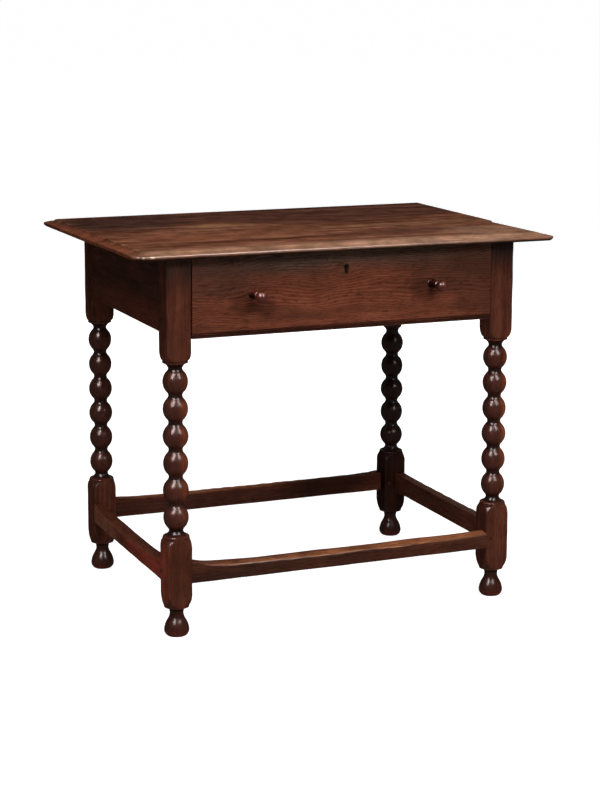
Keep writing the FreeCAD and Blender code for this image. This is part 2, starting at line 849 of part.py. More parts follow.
def lock_nail_places():
    """One pin near each corner of the lock plate."""
    x = lock_width / 2 - lock_nail_inset
    y = drawer_front_back + lock_plate_thickness
    rows = (drawer_top - lock_height + lock_nail_inset, drawer_top - 2 * lock_nail_inset)
    return [vec(way * x, y, z) for way in WAYS.values() for z in rows]


def lock_nail_holes():
    return group([nail(place, vec(0, -1, 0), lock_nail_length, nail_clearance)
                  for place in lock_nail_places()])


def lock_nails():
    return group([nail(place, vec(0, -1, 0), lock_nail_length) for place in lock_nail_places()])


def nodes():
    """Every named piece of the table."""
    parts = {"top_front_board": top_front_board(), "top_rear_board": top_rear_board(),
             "top_pegs": top_pegs()}
    for end, way_y in (("front", -1), ("rear", 1)):
        for side, way_x in WAYS.items():
            parts["leg_" + end + "_" + side] = leg(way_x, way_y)
    parts["rear_rail"] = rail("rear")
    rail_pegs = rail_pegs_of("rear")
    stretcher_pegs = []
    for side in WAYS:
        parts["side_rail_" + side] = rail(side)
        parts["drawer_runner_" + side] = runner(side)
        parts["drawer_side_" + side] = drawer_side(side)
        rail_pegs += rail_pegs_of(side)
    for side in SIDES:
        parts["stretcher_" + side] = stretcher(side)
        stretcher_pegs += stretcher_pegs_of(side)
    parts["rail_pegs"] = group(rail_pegs)
    parts["stretcher_pegs"] = group(stretcher_pegs)
    parts["runner_nails"] = runner_nails()
    parts["drawer_front"] = drawer_front()
    parts["drawer_back"] = drawer_back()
    for index in range(bottom_board_count):
        parts["drawer_bottom_board_" + str(index + 1)] = bottom_board(index)
    parts["drawer_nails"] = drawer_nails()
    parts["knob_left"] = knob(knob_left)
    parts["knob_right"] = knob(knob_right)
    parts["keyhole_liner"] = keyhole_liner()
    parts["lock_plate"] = lock_plate()
    parts["lock_bolt"] = lock_bolt()
    parts["lock_bolt_guide"] = bolt_guide()
    parts["lock_key_pin"] = key_pin()
    parts["lock_spring"] = lock_spring()
    parts["lock_nails"] = lock_nails()
    return parts


def main():
    os.makedirs("parts", exist_ok=True)
    for name, shape in nodes().items():
        shape.translate(vec(-middle_x, -middle_y, 0))
        shape.exportStep("parts/" + name + ".step")


main()
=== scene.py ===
# %% [markdown]
# # A side table with bobbin-turned legs
# The real table is dark English oak, some three centuries old: four legs turned from square stock, box
# stretchers worn by feet, a moulded top of two boards and one long drawer. The joints and the exact sizes
# come from the CAD model. This lesson gives the pieces their hand-made surfaces and their waxed finish.

# %% Load the frame
import math
import bmesh
import bpy
import numpy as np
from mathutils import Matrix, Vector


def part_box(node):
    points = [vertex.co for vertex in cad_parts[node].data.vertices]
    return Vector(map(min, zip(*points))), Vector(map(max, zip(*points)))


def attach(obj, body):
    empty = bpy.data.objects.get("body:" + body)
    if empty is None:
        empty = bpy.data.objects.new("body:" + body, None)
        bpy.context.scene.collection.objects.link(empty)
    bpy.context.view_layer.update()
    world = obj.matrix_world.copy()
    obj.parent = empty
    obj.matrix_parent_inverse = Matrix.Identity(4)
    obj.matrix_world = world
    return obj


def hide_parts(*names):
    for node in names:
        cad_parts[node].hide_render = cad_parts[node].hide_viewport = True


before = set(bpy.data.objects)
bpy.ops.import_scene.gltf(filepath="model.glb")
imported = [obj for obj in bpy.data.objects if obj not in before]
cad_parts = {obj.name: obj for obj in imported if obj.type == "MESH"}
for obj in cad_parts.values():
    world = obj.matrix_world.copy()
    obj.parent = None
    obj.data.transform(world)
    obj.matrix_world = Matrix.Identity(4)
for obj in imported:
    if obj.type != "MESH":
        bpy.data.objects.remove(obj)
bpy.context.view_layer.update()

# %% [markdown]
# ## The camera
# The eye stands to the left of the drawer, 3.7 m away and half a metre above the top, with a long lens, so
# that the upright lines stay nearly parallel. A small downward shift of the lens takes in the feet without
# tilting the camera further, because a tilt would make those lines lean.

# %% Camera
def add_object(name, data):
    """Put new data into the scene as an object at the origin."""
    thing = bpy.data.objects.new(name, data)
    bpy.context.collection.objects.link(thing)
    return thing


def place_camera(name, eye, yaw, pitch, roll, lens, shift):
    """Camera at a point, turned from +Y by a yaw to the right, a pitch down and a roll, in degrees.

    It looks along (sin yaw cos pitch, cos yaw cos pitch, -sin pitch), and the roll turns its level and its
    down direction about that.
    """
    data = bpy.data.cameras.new(name)
    data.sensor_width = 36
    data.lens = lens
    data.shift_y = shift
    data.clip_end = 400
    camera = add_object(name, data)
    yaw, pitch, roll = (math.radians(angle) for angle in (yaw, pitch, roll))
    ahead = Vector((math.sin(yaw) * math.cos(pitch), math.cos(yaw) * math.cos(pitch), -math.sin(pitch)))
    level = Vector((math.cos(yaw), -math.sin(yaw), 0))
    down = ahead.cross(level)
    right = level * math.cos(roll) + down * math.sin(roll)
    below = down * math.cos(roll) - level * math.sin(roll)
    camera.matrix_world = Matrix((
        (right.x, -below.x, -ahead.x, eye[0]),
        (right.y, -below.y, -ahead.y, eye[1]),
        (right.z, -below.z, -ahead.z, eye[2]),
        (0, 0, 0, 1)))
    bpy.context.scene.camera = camera
    print(name, "looks along", [round(v, 3) for v in ahead])


place_camera("camera", (-1.4426, -3.4597, 1.1630), yaw=22.818, pitch=9.145, roll=-0.233, lens=88.65, shift=-0.125)

# %% [markdown]
# ## Colours and nodes
# Colours are written as sRGB hex values, as a paint chart gives them, and turned to linear light. One
# function adds a shader node and makes its links. A few more give the steps that come up again and again,
# so that each material below reads as a short list.

# %% Colours and nodes
def srgb(code):
    """Linear colour of an sRGB hex value: c / 12.92 for a small part c, else ((c + 0.055) / 1.055) ^ 2.4."""
    parts = [int(code[i:i + 2], 16) / 255 for i in (1, 3, 5)]
    linear = [c / 12.92 if c <= 0.04045 else ((c + 0.055) / 1.055) ** 2.4 for c in parts]
    return (*linear, 1.0)


def add_node(tree, kind, inputs=None, **settings):
    """Add a shader node. An input is a plain value or another node's output socket."""
    node = tree.nodes.new("ShaderNode" + kind)
    for name, value in settings.items():
        setattr(node, name, value)
    for key, value in (inputs or {}).items():
        if isinstance(value, bpy.types.NodeSocket):
            tree.links.new(value, node.inputs[key])
        else:
            node.inputs[key].default_value = value
    return node


def calc(tree, operation, *values):
    """A sum, product or other operation on numbers."""
    return add_node(tree, "Math", dict(enumerate(values)), operation=operation).outputs["Value"]


def calc_vector(tree, operation, *values):
    """An operation on vectors. The length of one is a number, all others give a vector."""
    output = "Value" if operation == "LENGTH" else "Vector"
    return add_node(tree, "VectorMath", dict(enumerate(values)), operation=operation).outputs[output]


def remap(tree, value, old, new, curve="LINEAR"):
    """Carry a value from the range old to the range new, and hold it at their ends."""
    ends = {"From Min": old[0], "From Max": old[1], "To Min": new[0], "To Max": new[1]}
    return add_node(tree, "MapRange", {"Value": value, **ends}, interpolation_type=curve).outputs["Result"]


def noise(tree, place, scale, detail, roughness=0.5, output="Fac"):
    """Noise from 0 to 1 in lumps of 1 / scale metres. Three scales stretch it along the axes."""
    if isinstance(scale, tuple):
        place, scale = add_node(tree, "Mapping", {"Vector": place, "Scale": scale}).outputs["Vector"], 1.0
    return add_node(tree, "TexNoise", {"Vector": place, "Scale": scale, "Detail": detail,
                                       "Roughness": roughness}).outputs[output]


def cover(tree, colour, mask, code):
    """Lay a hex colour over a colour as far as the mask says, from 0 to 1."""
    return add_node(tree, "Mix", {"Factor": mask, 6: colour, 7: srgb(code)}, data_type="RGBA").outputs[2]


def new_material(name):
    """A material, with its node tree and its shader."""
    material = bpy.data.materials.new(name)
    material.use_nodes = True
    return material, material.node_tree, material.node_tree.nodes["Principled BSDF"]


print("a brown of the drawer front, linear:", [round(v, 3) for v in srgb("#673726")])

# %% [markdown]
# ## Oak
# Oak shows three things at this distance: broad bands of darker and lighter wood a few centimetres wide,
# fine growth lines that follow the grain, and short dark pores. The real lines and pores are 0.3 mm wide,
# too fine to show here, so they are drawn 2 mm wide. All three are noise in the piece's own coordinates,
# stretched along the grain, which itself wanders, because a board is never sawn quite along the tree.

# %% Grain
GRAIN_TURN = {"X": (0, 0, 0), "Y": (0, 0, math.pi / 2), "Z": (0, math.pi / 2, 0)}


def grain_space(tree, place, grain, wander):
    """Coordinates whose X runs with the grain: straight ones, and ones that stray by up to wander metres."""
    along = add_node(tree, "Mapping", {"Vector": place, "Rotation": GRAIN_TURN[grain]}).outputs["Vector"]
    # The grain strays over some 200 mm along and 60 mm across.
    stray = noise(tree, along, (5, 16, 16), 1.0, output="Color")
    bend = calc_vector(tree, "SUBTRACT", stray, (0.5, 0.5, 0.5))
    bend = calc_vector(tree, "MULTIPLY", bend, (0, 2 * wander, 2 * wander))
    return along, calc_vector(tree, "ADD", along, bend)


def set_ramp(node, stops):
    """Set a colour ramp's stops from (position, hex) pairs, given in order. A new ramp has two."""
    ramp = node.color_ramp
    for index, (position, code) in enumerate(stops):
        stop = ramp.elements[index] if index < 2 else ramp.elements.new(position)
        stop.position = position
        stop.color = srgb(code)


def shade_grain(tree, colour, along, bent, lines, mottle, figure):
    """Shade a colour by growth lines, stains and figure, each with its contrast. Returns it and the fibre."""
    # Growth lines: 2 to 5 mm apart, 80 mm long. Stains: some 40 mm across. Both are shades of the same wood.
    fibre = noise(tree, bent, (12, 300, 300), 4.0, 0.7)
    shades = [(fibre, lines), (noise(tree, along, 24.0, 3.0, 0.6), mottle)]
    if figure:
        # Wavy lines 4.3 mm apart, bent by waves of some 40 mm.
        flat = add_node(tree, "Mapping", {"Vector": bent, "Scale": (0.6, 1, 1)}).outputs["Vector"]
        wave = add_node(tree, "TexWave", {"Vector": flat, "Scale": 73.0, "Distortion": 6.0, "Detail": 2.0,
                                          "Detail Scale": 0.4}, wave_type="BANDS", bands_direction="Z")
        shades.append((wave.outputs["Fac"], figure))
    for value, contrast in shades:
        shade = remap(tree, value, (0.34, 0.66), (1 + contrast, 1 - contrast))
        colour = add_node(tree, "Mix", {"Factor": 1.0, 6: colour, 7: shade}, data_type="RGBA",
                          blend_type="MULTIPLY").outputs[2]
    return colour, fibre


def fill_pores(tree, colour, bent, pore, dashes):
    """Lay in the pores: short dark dashes, drawn 2 mm wide and 14 mm long. Returns the colour and their mask."""
    pores = remap(tree, noise(tree, bent, (70, 560, 560), 1.0), (0.54, 0.68), (0, dashes))
    return cover(tree, colour, pores, pore), pores


print("turns for the grain, in degrees:", {axis: np.degrees(turn).tolist() for axis, turn in GRAIN_TURN.items()})

# %% [markdown]
# ## Wear, painted light and painted shade on the colour
# Wax, hands, feet and light change old wood from place to place, and some shade and light are painted into the
# colour here. Some changes follow the shape: dark wax lies in the hollows, and painted shade darkens them as well,
# crests are rubbed to a redder wood, and worn arrises are pale. Point attributes on the meshes carry those.
# The others are single places, each a soft oval about a centre: stains and worn places, and also painted shade
# and painted light. The bands of the wood make every border ragged, because smooth borders look airbrushed.

# %% Wear, painted light and painted shade on the colour
MOST_COVER = 0.85                         # of the colour, where an attribute asks for all of it
PATCH_EDGE, PATCH_CORE = 1.3, 0.45       # where a patch ends and where it is full, in its half sizes


# The dark hollows are dark wax and painted shade.
def wear_and_shade_by_shape(tree, colour, ragged, finishes):
    """Cover by point attribute, for finishes of (attribute, value at 0, value at full, hex colour)."""
    for attribute, none, full, code in finishes:
        value = add_node(tree, "Attribute", attribute_name=attribute).outputs["Fac"]
        mask = remap(tree, calc(tree, "ADD", value, ragged), (none, full), (0, MOST_COVER), "SMOOTHSTEP")
        colour = cover(tree, colour, mask, code)
    return colour


# Patches hold real stains and wear, and also painted shade and painted light.
def wear_and_painted_light_by_place(tree, colour, ragged, place, patches):
    """Cover at each patch: the reach is the length of (place - centre) / half size."""
    for centre, half, code, strength in patches:
        unit = calc_vector(tree, "DIVIDE", calc_vector(tree, "SUBTRACT", place, centre), half)
        reach = calc(tree, "ADD", calc_vector(tree, "LENGTH", unit), ragged)
        mask = remap(tree, reach, (PATCH_EDGE, PATCH_CORE), (0, strength), "SMOOTHSTEP")
        colour = cover(tree, colour, mask, code)
    return colour


print("an attribute covers at most", MOST_COVER, "of the colour, and a patch ends at", PATCH_EDGE, "half sizes")

# %% [markdown]
# ## Wax and tool marks
# Three centuries of wax fill the pores and leave a thin clear layer. It is the shader's coat, over a matt
# base with no gloss of its own: a coat can be strong on the burnished turnings and nearly gone on flats
# that are worn dull. Old wax is dull at a slant, so where it is buffed the coat fades as the surface turns
# away. Tools leave relief: raised fibre, sunk pores, and the soft waves of a hand plane or a scraper.

# %% Wax and tool marks
FIBRE_DEPTH, WAVE_DEPTH = 0.0004, 0.001


def wax(tree, shader, place, shine, gloss, matt, rubbed_shine):
    """Roughness and coat of waxed wood. rubbed_shine is the coat's weight where the attribute polish is 1."""
    # The polish is uneven over some 30 mm.
    cloud = noise(tree, place, 33.0, 2.0)
    tree.links.new(remap(tree, cloud, (0.3, 0.7), (matt - 0.1, matt + 0.1)), shader.inputs["Roughness"])
    for name, value in (("Specular IOR Level", 0.0), ("Coat Weight", shine), ("Coat Roughness", gloss),
                        ("Coat IOR", 1.5)):
        shader.inputs[name].default_value = value
    if rubbed_shine:
        buffed = add_node(tree, "Attribute", attribute_name="polish").outputs["Fac"]
        weight = remap(tree, buffed, (0, 1), (shine, rubbed_shine))
        slant = add_node(tree, "LayerWeight", {"Blend": 0.5}).outputs["Facing"]
        kept = remap(tree, slant, (0.2, 0.8), (1.0, 0.1))
        tree.links.new(calc(tree, "MULTIPLY", weight, kept), shader.inputs["Coat Weight"])


def tool_marks(tree, shader, place, fibre, pores, tooling):
    """Fine relief of fibre less pores, over tool marks some 36 mm long. tooling scales both."""
    relief = calc(tree, "SUBTRACT", fibre, pores)
    fine = add_node(tree, "Bump", {"Height": relief, "Strength": 0.3 * tooling, "Distance": FIBRE_DEPTH})
    waves = add_node(tree, "Bump", {"Height": noise(tree, place, 28.0, 1.0), "Strength": 0.4 * tooling,
                                    "Distance": WAVE_DEPTH, "Normal": fine.outputs["Normal"]})
    for name in ("Normal", "Coat Normal"):
        tree.links.new(waves.outputs["Normal"], shader.inputs[name])


print("depth of the fibre and of the waves, in mm:", FIBRE_DEPTH * 1000, WAVE_DEPTH * 1000)

# %% [markdown]
# ## One recipe for all the oak
# Every board and turning could have a material of its own. One recipe with other colours and strengths
# keeps them alike, as pieces of one table are, and a change of the recipe reaches them all.

# %% Oak recipe
def oak(name, grain, bands, pore, shine=0.03, gloss=0.3, wander=0.012, lines=0.3, dashes=0.6, mottle=0.12,
        figure=0.0, matt=0.6, tooling=1.0, patches=(), burnished=None, hollow=None, crest=None, rubbed=None,
        rubbed_shine=None):
    """Waxed oak with its grain along one axis.

    bands are the ramp's hex colours from dark to light, pore the colour of the dark dashes.
    wander is how far the grain strays, in metres. lines, mottle and figure are the contrasts of the growth
    lines, of stains and of the even wavy lines that a board sawn across its rings shows. tooling is how
    deep the marks of the tools are, less than 1 on turned work.
    patches are (centre, half size, colour, strength) of places that wear or dirt has changed, and of painted
    shade and painted light, in metres.
    burnished, hollow, crest and rubbed are hex colours for where the attributes polish, relief and worn ask
    for them, and rubbed_shine is the coat's weight where polish is 1.
    """
    material, tree, shader = new_material(name)
    place = add_node(tree, "TexCoord").outputs["Object"]
    along, bent = grain_space(tree, place, grain, wander)
    # Bands: 30 mm across the grain and 350 mm along it.
    band = noise(tree, bent, (2.9, 33, 33), 5.0, 0.62)
    ramp = add_node(tree, "ValToRGB", {"Fac": band})
    set_ramp(ramp, [(0.32 + 0.36 * i / (len(bands) - 1), code) for i, code in enumerate(bands)])
    ragged = remap(tree, band, (0.3, 0.7), (-0.22, 0.22))
    finishes = (("polish", 0.3, 1.0, burnished), ("relief", -0.15, -0.9, hollow),
                ("relief", 0.1, 0.9, crest), ("worn", 0.25, 0.95, rubbed))
    colour = wear_and_shade_by_shape(tree, ramp.outputs["Color"], ragged, [finish for finish in finishes if finish[-1]])
    colour = wear_and_painted_light_by_place(tree, colour, ragged, place, patches)
    colour, fibre = shade_grain(tree, colour, along, bent, lines, mottle, figure)
    colour, pores = fill_pores(tree, colour, bent, pore, dashes)
    tree.links.new(colour, shader.inputs["Base Color"])
    wax(tree, shader, place, shine, gloss, matt, rubbed_shine)
    tool_marks(tree, shader, place, fibre, pores, tooling)
    print(name, len(tree.nodes), "nodes")
    return material


# %% [markdown]
# ## Surfaces from rings
# Every hand-shaped piece here is a skin over rings of points: level rings up a leg, sections along a
# stretcher, outlines from the underside of a board to its top, upright rings out along a knob. A ring could
# be moved point by point, but whole arrays are quicker and say plainly what the shape is. Unevenness comes
# from a sum of a few sines with seeded lengths and phases, so it is smooth and the same each time.

# %% Surfaces from rings
SHARP = math.radians(38)                 # a crease sharper than this isn't smoothed


def ripple(x, seed, length, terms=5):
    """Smooth unevenness, about -1 to 1: the sum of sines whose wavelengths lie round one length."""
    rng = np.random.default_rng(seed)
    lengths = length * rng.uniform(0.6, 1.9, terms)
    phases = rng.uniform(0, 2 * np.pi, terms)
    shares = rng.uniform(0.5, 1.0, terms)
    waves = np.sin(2 * np.pi * np.asarray(x, dtype=float)[..., None] / lengths + phases)
    return 1.5 * (waves * shares).sum(-1) / shares.sum()


def arc(start, end, bulge, spacing):
    """Points after start, up to end, on the arc whose middle stands off the chord by bulge, in mm.

    With half chord h and bulge s the radius is (h^2 + s^2) / 2s and half the opening is asin(h / radius).
    """
    p, q = np.array(start, dtype=float), np.array(end, dtype=float)
    chord = q - p
    length = np.hypot(*chord)
    t = np.linspace(-1, 1, max(2, int(np.ceil(length / spacing)) + 1))[1:, None]
    if bulge == 0:
        return p + (t + 1) / 2 * chord
    radius = (length ** 2 / 4 + bulge ** 2) / (2 * abs(bulge))
    opening = math.asin(length / 2 / radius)
    out = np.array((chord[1], -chord[0])) / length * math.copysign(1, bulge)
    return ((p + q) / 2 + chord / length * radius * np.sin(t * opening)
            + out * (radius * np.cos(t * opening) - radius + abs(bulge)))


def skin(name, rings, material, node, marks, body="frame"):
    """Closed mesh over an array of rings, points round each ring, and x, y, z in mm. Returns the object.

    Quads join each ring to the next and one flat face closes each end. marks are point attributes.
    """
    count, around = rings.shape[:2]
    index = np.arange(count * around).reshape(count, around)
    beside = np.roll(index, -1, axis=1)
    quads = np.stack([index[:-1], beside[:-1], beside[1:], index[1:]], axis=-1).reshape(-1, 4)
    mesh = bpy.data.meshes.new(name)
    mesh.from_pydata((rings.reshape(-1, 3) / 1000).tolist(), [],
                     quads.tolist() + [index[0, ::-1].tolist(), index[-1].tolist()])
    for mark, values in marks.items():
        layer = mesh.attributes.new(mark, "FLOAT", "POINT")
        layer.data.foreach_set("value", np.broadcast_to(values, (count, around)).ravel().astype(np.float32))
    sewn = bmesh.new()
    sewn.from_mesh(mesh)
    bmesh.ops.remove_doubles(sewn, verts=sewn.verts, dist=1e-6)
    sewn.to_mesh(mesh)
    sewn.free()
    mesh.shade_smooth()
    mesh.set_sharp_from_angle(angle=SHARP)
    mesh.materials.append(material)
    piece = add_object(name, mesh)
    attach(piece, body)
    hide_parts(node)
    print(name, len(mesh.polygons), "faces")
    return piece


print("ripples of 60 mm:", ripple(np.arange(0, 240, 40), 1, 60).round(2))

# %% [markdown]
# ## Turned legs
# A turner leaves the stock square at the blocks and turns the rest, so a leg is the smaller of two shapes:
# a round profile and a square prism. Where they meet, the square's corners end in the curved shoulders that
# mark hand-turned work. A lathe tool held by hand makes no two bobbins alike, and since then the wood has
# shrunk more one way than the other, so each round is very slightly oval. Two marks go with the shape:
# relief tells hollows, which keep dark wax and get painted shade as well, from crests, which hands rub, and
# polish tells the lathe-made parts, which were burnished, from the flats.

# %% Leg profile
# Each step ends at a radius and a height, with a bulge on the way and a spacing of rows, in mm.
LEG_STEPS_LOW = [(22.6, 12.5, 2.0, 1.3), (17.3, 28.6, 0.8, 1.3), (12.3, 41.0, -0.8, 1.3), (13.1, 47.5, 0, 1.3),
                 (22.85, 53.3, -1.4, 0.8), (22.85, 55.5, 0, 0.8), (31.63, 77.0, 1.2, 0.7), (31.63, 160.0, 0, 6),
                 (26.0, 178.0, 2.0, 0.6), (25.1, 178.9, 0, 0.5), (25.1, 180.5, 0, 0.6), (23.75, 181.4, 0, 0.5),
                 (22.85, 185.4, 0.9, 0.6), (12.6, 194.1, -1.8, 0.8)]
LEG_STEPS_HIGH = [(22.85, 500.5, -1.8, 0.8), (22.85, 505.0, 0, 0.8), (25.0, 505.7, 0, 0.3),
                  (31.63, 521.5, 1.4, 0.6), (31.63, 690.0, 0, 7)]
FIRST_NECK, LAST_NECK, BOBBINS = 194.1, 490.5, 6
PITCH = (LAST_NECK - FIRST_NECK) / BOBBINS
HALF_STOCK, LEG_TOP = 23, 690
LOW_BLOCK_START, LOW_BLOCK_END, HIGH_BLOCK_START = 55.5, 185.4, 505.0


def bobbin_steps(crest=22.9, neck=12.6, curve=26.5):
    """Profile steps of the bobbins: a round arc each, joined by coves that meet it at a tangent."""
    half, rise = PITCH / 2, crest - neck
    cove = (half ** 2 + rise ** 2) / (2 * rise) - curve
    reach = curve / (curve + cove)
    joint, lift = crest - rise * reach, half * reach
    sag = cove - math.sqrt(cove ** 2 - ((joint - neck) ** 2 + (half - lift) ** 2) / 4)
    steps = []
    for i in range(BOBBINS):
        middle = FIRST_NECK + (i + 0.5) * PITCH
        steps += [(joint, middle - lift, -sag, 1.2), (joint, middle + lift, rise * reach, 1.3),
                  (neck, middle + half, -sag, 1.2)]
    return steps


def leg_profile():
    """Radius and height of every row, from the floor up."""
    rows = [np.array([(17.0, 0.0)])]
    for radius, height, bulge, spacing in LEG_STEPS_LOW + bobbin_steps() + LEG_STEPS_HIGH:
        rows.append(arc(rows[-1][-1], (radius, height), bulge, spacing))
    return np.concatenate(rows).T


profile_radius, profile_height = leg_profile()
# Columns round a leg: 27 over each flat and 5 round each arris.
quarter = np.concatenate([np.arctan(np.linspace(-0.94, 0.94, 27)),
                          math.pi / 4 + np.radians((-1.3, -0.6, 0, 0.6, 1.3))])
turn = (quarter + np.arange(4)[:, None] * math.pi / 2).ravel()
# Relief: how far the profile stands out of its own average over 7 mm and over 1.6 mm.
profile_relief = np.zeros_like(profile_radius)
even = np.arange(-40, 740, 0.5)
for width, depth in ((7, 4.0), (1.6, 1.4)):
    blur = np.exp(-0.5 * (np.arange(-50, 51) * 0.5 / width) ** 2)
    smoothed = np.convolve(np.interp(even, profile_height, profile_radius), blur / blur.sum(), "same")
    profile_relief += (profile_radius - np.interp(profile_height, even, smoothed)) / depth
profile_relief = np.clip(profile_relief, -1, 1)
print("leg rows", len(profile_radius), "columns", len(turn))

# %% [markdown]
# ## The four legs
# One leg could be copied three times, but then a flaw that should be one turner's slip would stand at every
# corner. Each leg gets a seed of its own for its bobbins, its arrises and its hardly straight faces.

# %% Legs
BLOCK_RADIUS, MOST_RUBBED = 28, 1.1      # arrises lie past this radius, and lose up to this much, in mm
SOFTNESS = 0.18


def leg_rings(seed, centre):
    """Rings of one leg: radius(turn, z) is the lesser of the profile and the square, 23 / max(|cos|, |sin|).

    The lesser of a and b is -S log(exp(-a / S) + exp(-b / S)), so that the arrises are eased by about S, the
    softness. In it the profile has lost what hands and feet have rubbed off its arrises.
    """
    rng = np.random.default_rng(seed)
    z = profile_height[:, None]
    block = ((z >= LOW_BLOCK_START) & (z <= LOW_BLOCK_END)) | (z >= HIGH_BLOCK_START)
    place = np.clip((z - FIRST_NECK) / PITCH, 0, BOBBINS - 1e-6)
    swell = rng.uniform(-0.028, 0.006, BOBBINS)[place.astype(int)] * np.sin(np.pi * place) ** 2
    oval = 0.006 * np.cos(2 * (turn - rng.uniform(0, np.pi)))
    round_radius = profile_radius[:, None] * (1 + swell + np.where(block, 0, oval))
    uneven = sum(np.cos(k * turn + rng.uniform(0, 6)) * ripple(z, seed * 10 + k, 130 / k) for k in (1, 2, 3))
    square = HALF_STOCK / np.maximum(abs(np.cos(turn)), abs(np.sin(turn))) * (1 + 0.0028 * uneven)
    corner = (np.arange(len(turn)) + len(quarter) // 2) // len(quarter) % 4
    rubs = np.stack([0.35 + 0.35 * ripple(profile_height, seed * 20 + k, 45) for k in range(4)])
    eased = round_radius - np.clip(rubs[corner].T, 0, MOST_RUBBED) * np.clip((round_radius - BLOCK_RADIUS) / 3, 0, 1)
    least = -SOFTNESS * np.logaddexp(-eased / SOFTNESS, -square / SOFTNESS)
    radius = np.where(block, least, round_radius)
    lift = 0.35 * ripple(z, seed * 30, 60) * np.clip(z / 30, 0, 1) * np.clip((LEG_TOP - z) / 30, 0, 1)
    points = np.stack([centre[0] + radius * np.cos(turn), centre[1] + radius * np.sin(turn),
                       np.broadcast_to(z + lift, radius.shape)], axis=-1)
    polish = np.where(block, np.clip((square - eased) / 0.8, 0, np.where(round_radius < 31, 1.0, 0.4)), 1.0)
    return points, {"relief": np.broadcast_to(profile_relief[:, None], radius.shape), "polish": polish}


LEG_PLACES = {"leg_front_left": (-320, -223.5), "leg_front_right": (320, -223.5),
              "leg_rear_left": (-320, 228.5), "leg_rear_right": (320, 228.5)}
# Painted light and shade on the front left lower block: its front face is painted darker and its left face lighter
# and redder, as the light falls on them.
LEG_PATCHES = [((-0.320, -0.2465, 0.125), (0.040, 0.014, 0.080), "#3C1E14", 0.65),
               ((-0.3455, -0.2250, 0.125), (0.004, 0.060, 0.090), "#924434", 0.85),
               # Painted light: a warm glow of reflected light on the right front of the front legs' bobbins.
               ((0.340, -0.2450, 0.33), (0.018, 0.020, 0.17), "#8A4426", 0.7),
               ((-0.306, -0.2480, 0.33), (0.015, 0.018, 0.17), "#743A22", 0.6),
               # Painted shade: the tops of the front legs darken under the top's edge.
               ((0.320, -0.2465, 0.704), (0.060, 0.060, 0.065), "#261B17", 0.95),
               ((-0.320, -0.2465, 0.704), (0.060, 0.060, 0.065), "#34261F", 0.8),
               # Painted shade: the rear right leg is painted near black.
               ((0.320, 0.2285, 0.35), (0.10, 0.10, 0.70), "#180D0A", 0.8)]
# Each foot is darker, and its lowest rim is painted redder, as painted light bounced off the floor.
LEG_PATCHES += [((x / 1000, y / 1000, z), (0.05, 0.05, half), code, 0.7) for x, y in LEG_PLACES.values()
                for z, half, code in ((0.020, 0.036, "#34180F"), (0.001, 0.011, "#5C221A"))]
# The near black of the hollows is dark wax and also painted shade.
leg_oak = oak("waxed_oak_leg", "Z", ["#3E2018", "#4C281D", "#5A3224"], "#22100B", shine=0.02, gloss=0.24,
              wander=0.004, lines=0.25, dashes=0.4, tooling=0.3, patches=LEG_PATCHES, burnished="#3A1C14",
              hollow="#140A07", crest="#50281C", rubbed_shine=0.08)
for seed, (node, centre) in enumerate(LEG_PLACES.items(), 1):
    rings, marks = leg_rings(seed, centre)
    skin(node + "_turned", rings, leg_oak, node, marks)

# %% [markdown]
# ## Worn stretchers
# Feet rested on these bars for centuries. Their outer upper edge is rubbed down and rounded, most at the
# front, and hardly at all next to the legs, where no foot fits. The section is a rectangle whose corners
# are rounded by quadratic curves. It is carried from leg to leg, its two upper corners sink by the wear,
# and its roundings grow with it. The worn mark makes the rubbed wood paler.

# %% Stretcher sections
BAR_TOP, BAR_UNDERSIDE, HALF_BAR, BAR_INSET = 137, 99, 11, 0.5
OUTER_WEAR, INNER_WEAR = 12.5, 8.0       # how far a fully worn bar's upper corners have sunk
INTO_LEG = 0.6
FRAME_MIDDLE = 2.5                       # Y of the middle of the frame


def wear_share(place, start, poles=(28, 95)):
    """How far the wear has come at a place along the bar, 0 at its start to 1 in the middle.

    It is a cubic Bezier curve whose second and third poles lie the distances poles from the start.
    """
    t = np.linspace(0, 1, 400)
    x = start - poles[0] * 3 * (1 - t) ** 2 * t - poles[1] * 3 * (1 - t) * t ** 2 - start * t ** 3
    return np.interp(-abs(place), -x, 1 - (1 - t) ** 3, left=0)


def rounded(corners, radii, steps=7):
    """Sections from corners (sections, 4, 2): each corner becomes the curve (1-t)^2 a + 2t(1-t) c + t^2 b."""
    to_last = np.roll(corners, 1, axis=1) - corners
    to_next = np.roll(corners, -1, axis=1) - corners
    a = corners + to_last / np.linalg.norm(to_last, axis=-1, keepdims=True) * radii[..., None]
    b = corners + to_next / np.linalg.norm(to_next, axis=-1, keepdims=True) * radii[..., None]
    t = np.linspace(0, 1, steps)[None, None, :, None]
    curve = ((1 - t) ** 2 * a[:, :, None] + 2 * t * (1 - t) * corners[:, :, None] + t ** 2 * b[:, :, None])
    flat_t = np.linspace(0, 1, 6)[1:-1][None, None, :, None]
    flats = b[:, :, None] + flat_t * (np.roll(a, -1, axis=1) - b)[:, :, None]
    return np.concatenate([curve, flats], axis=2).reshape(len(corners), -1, 2)


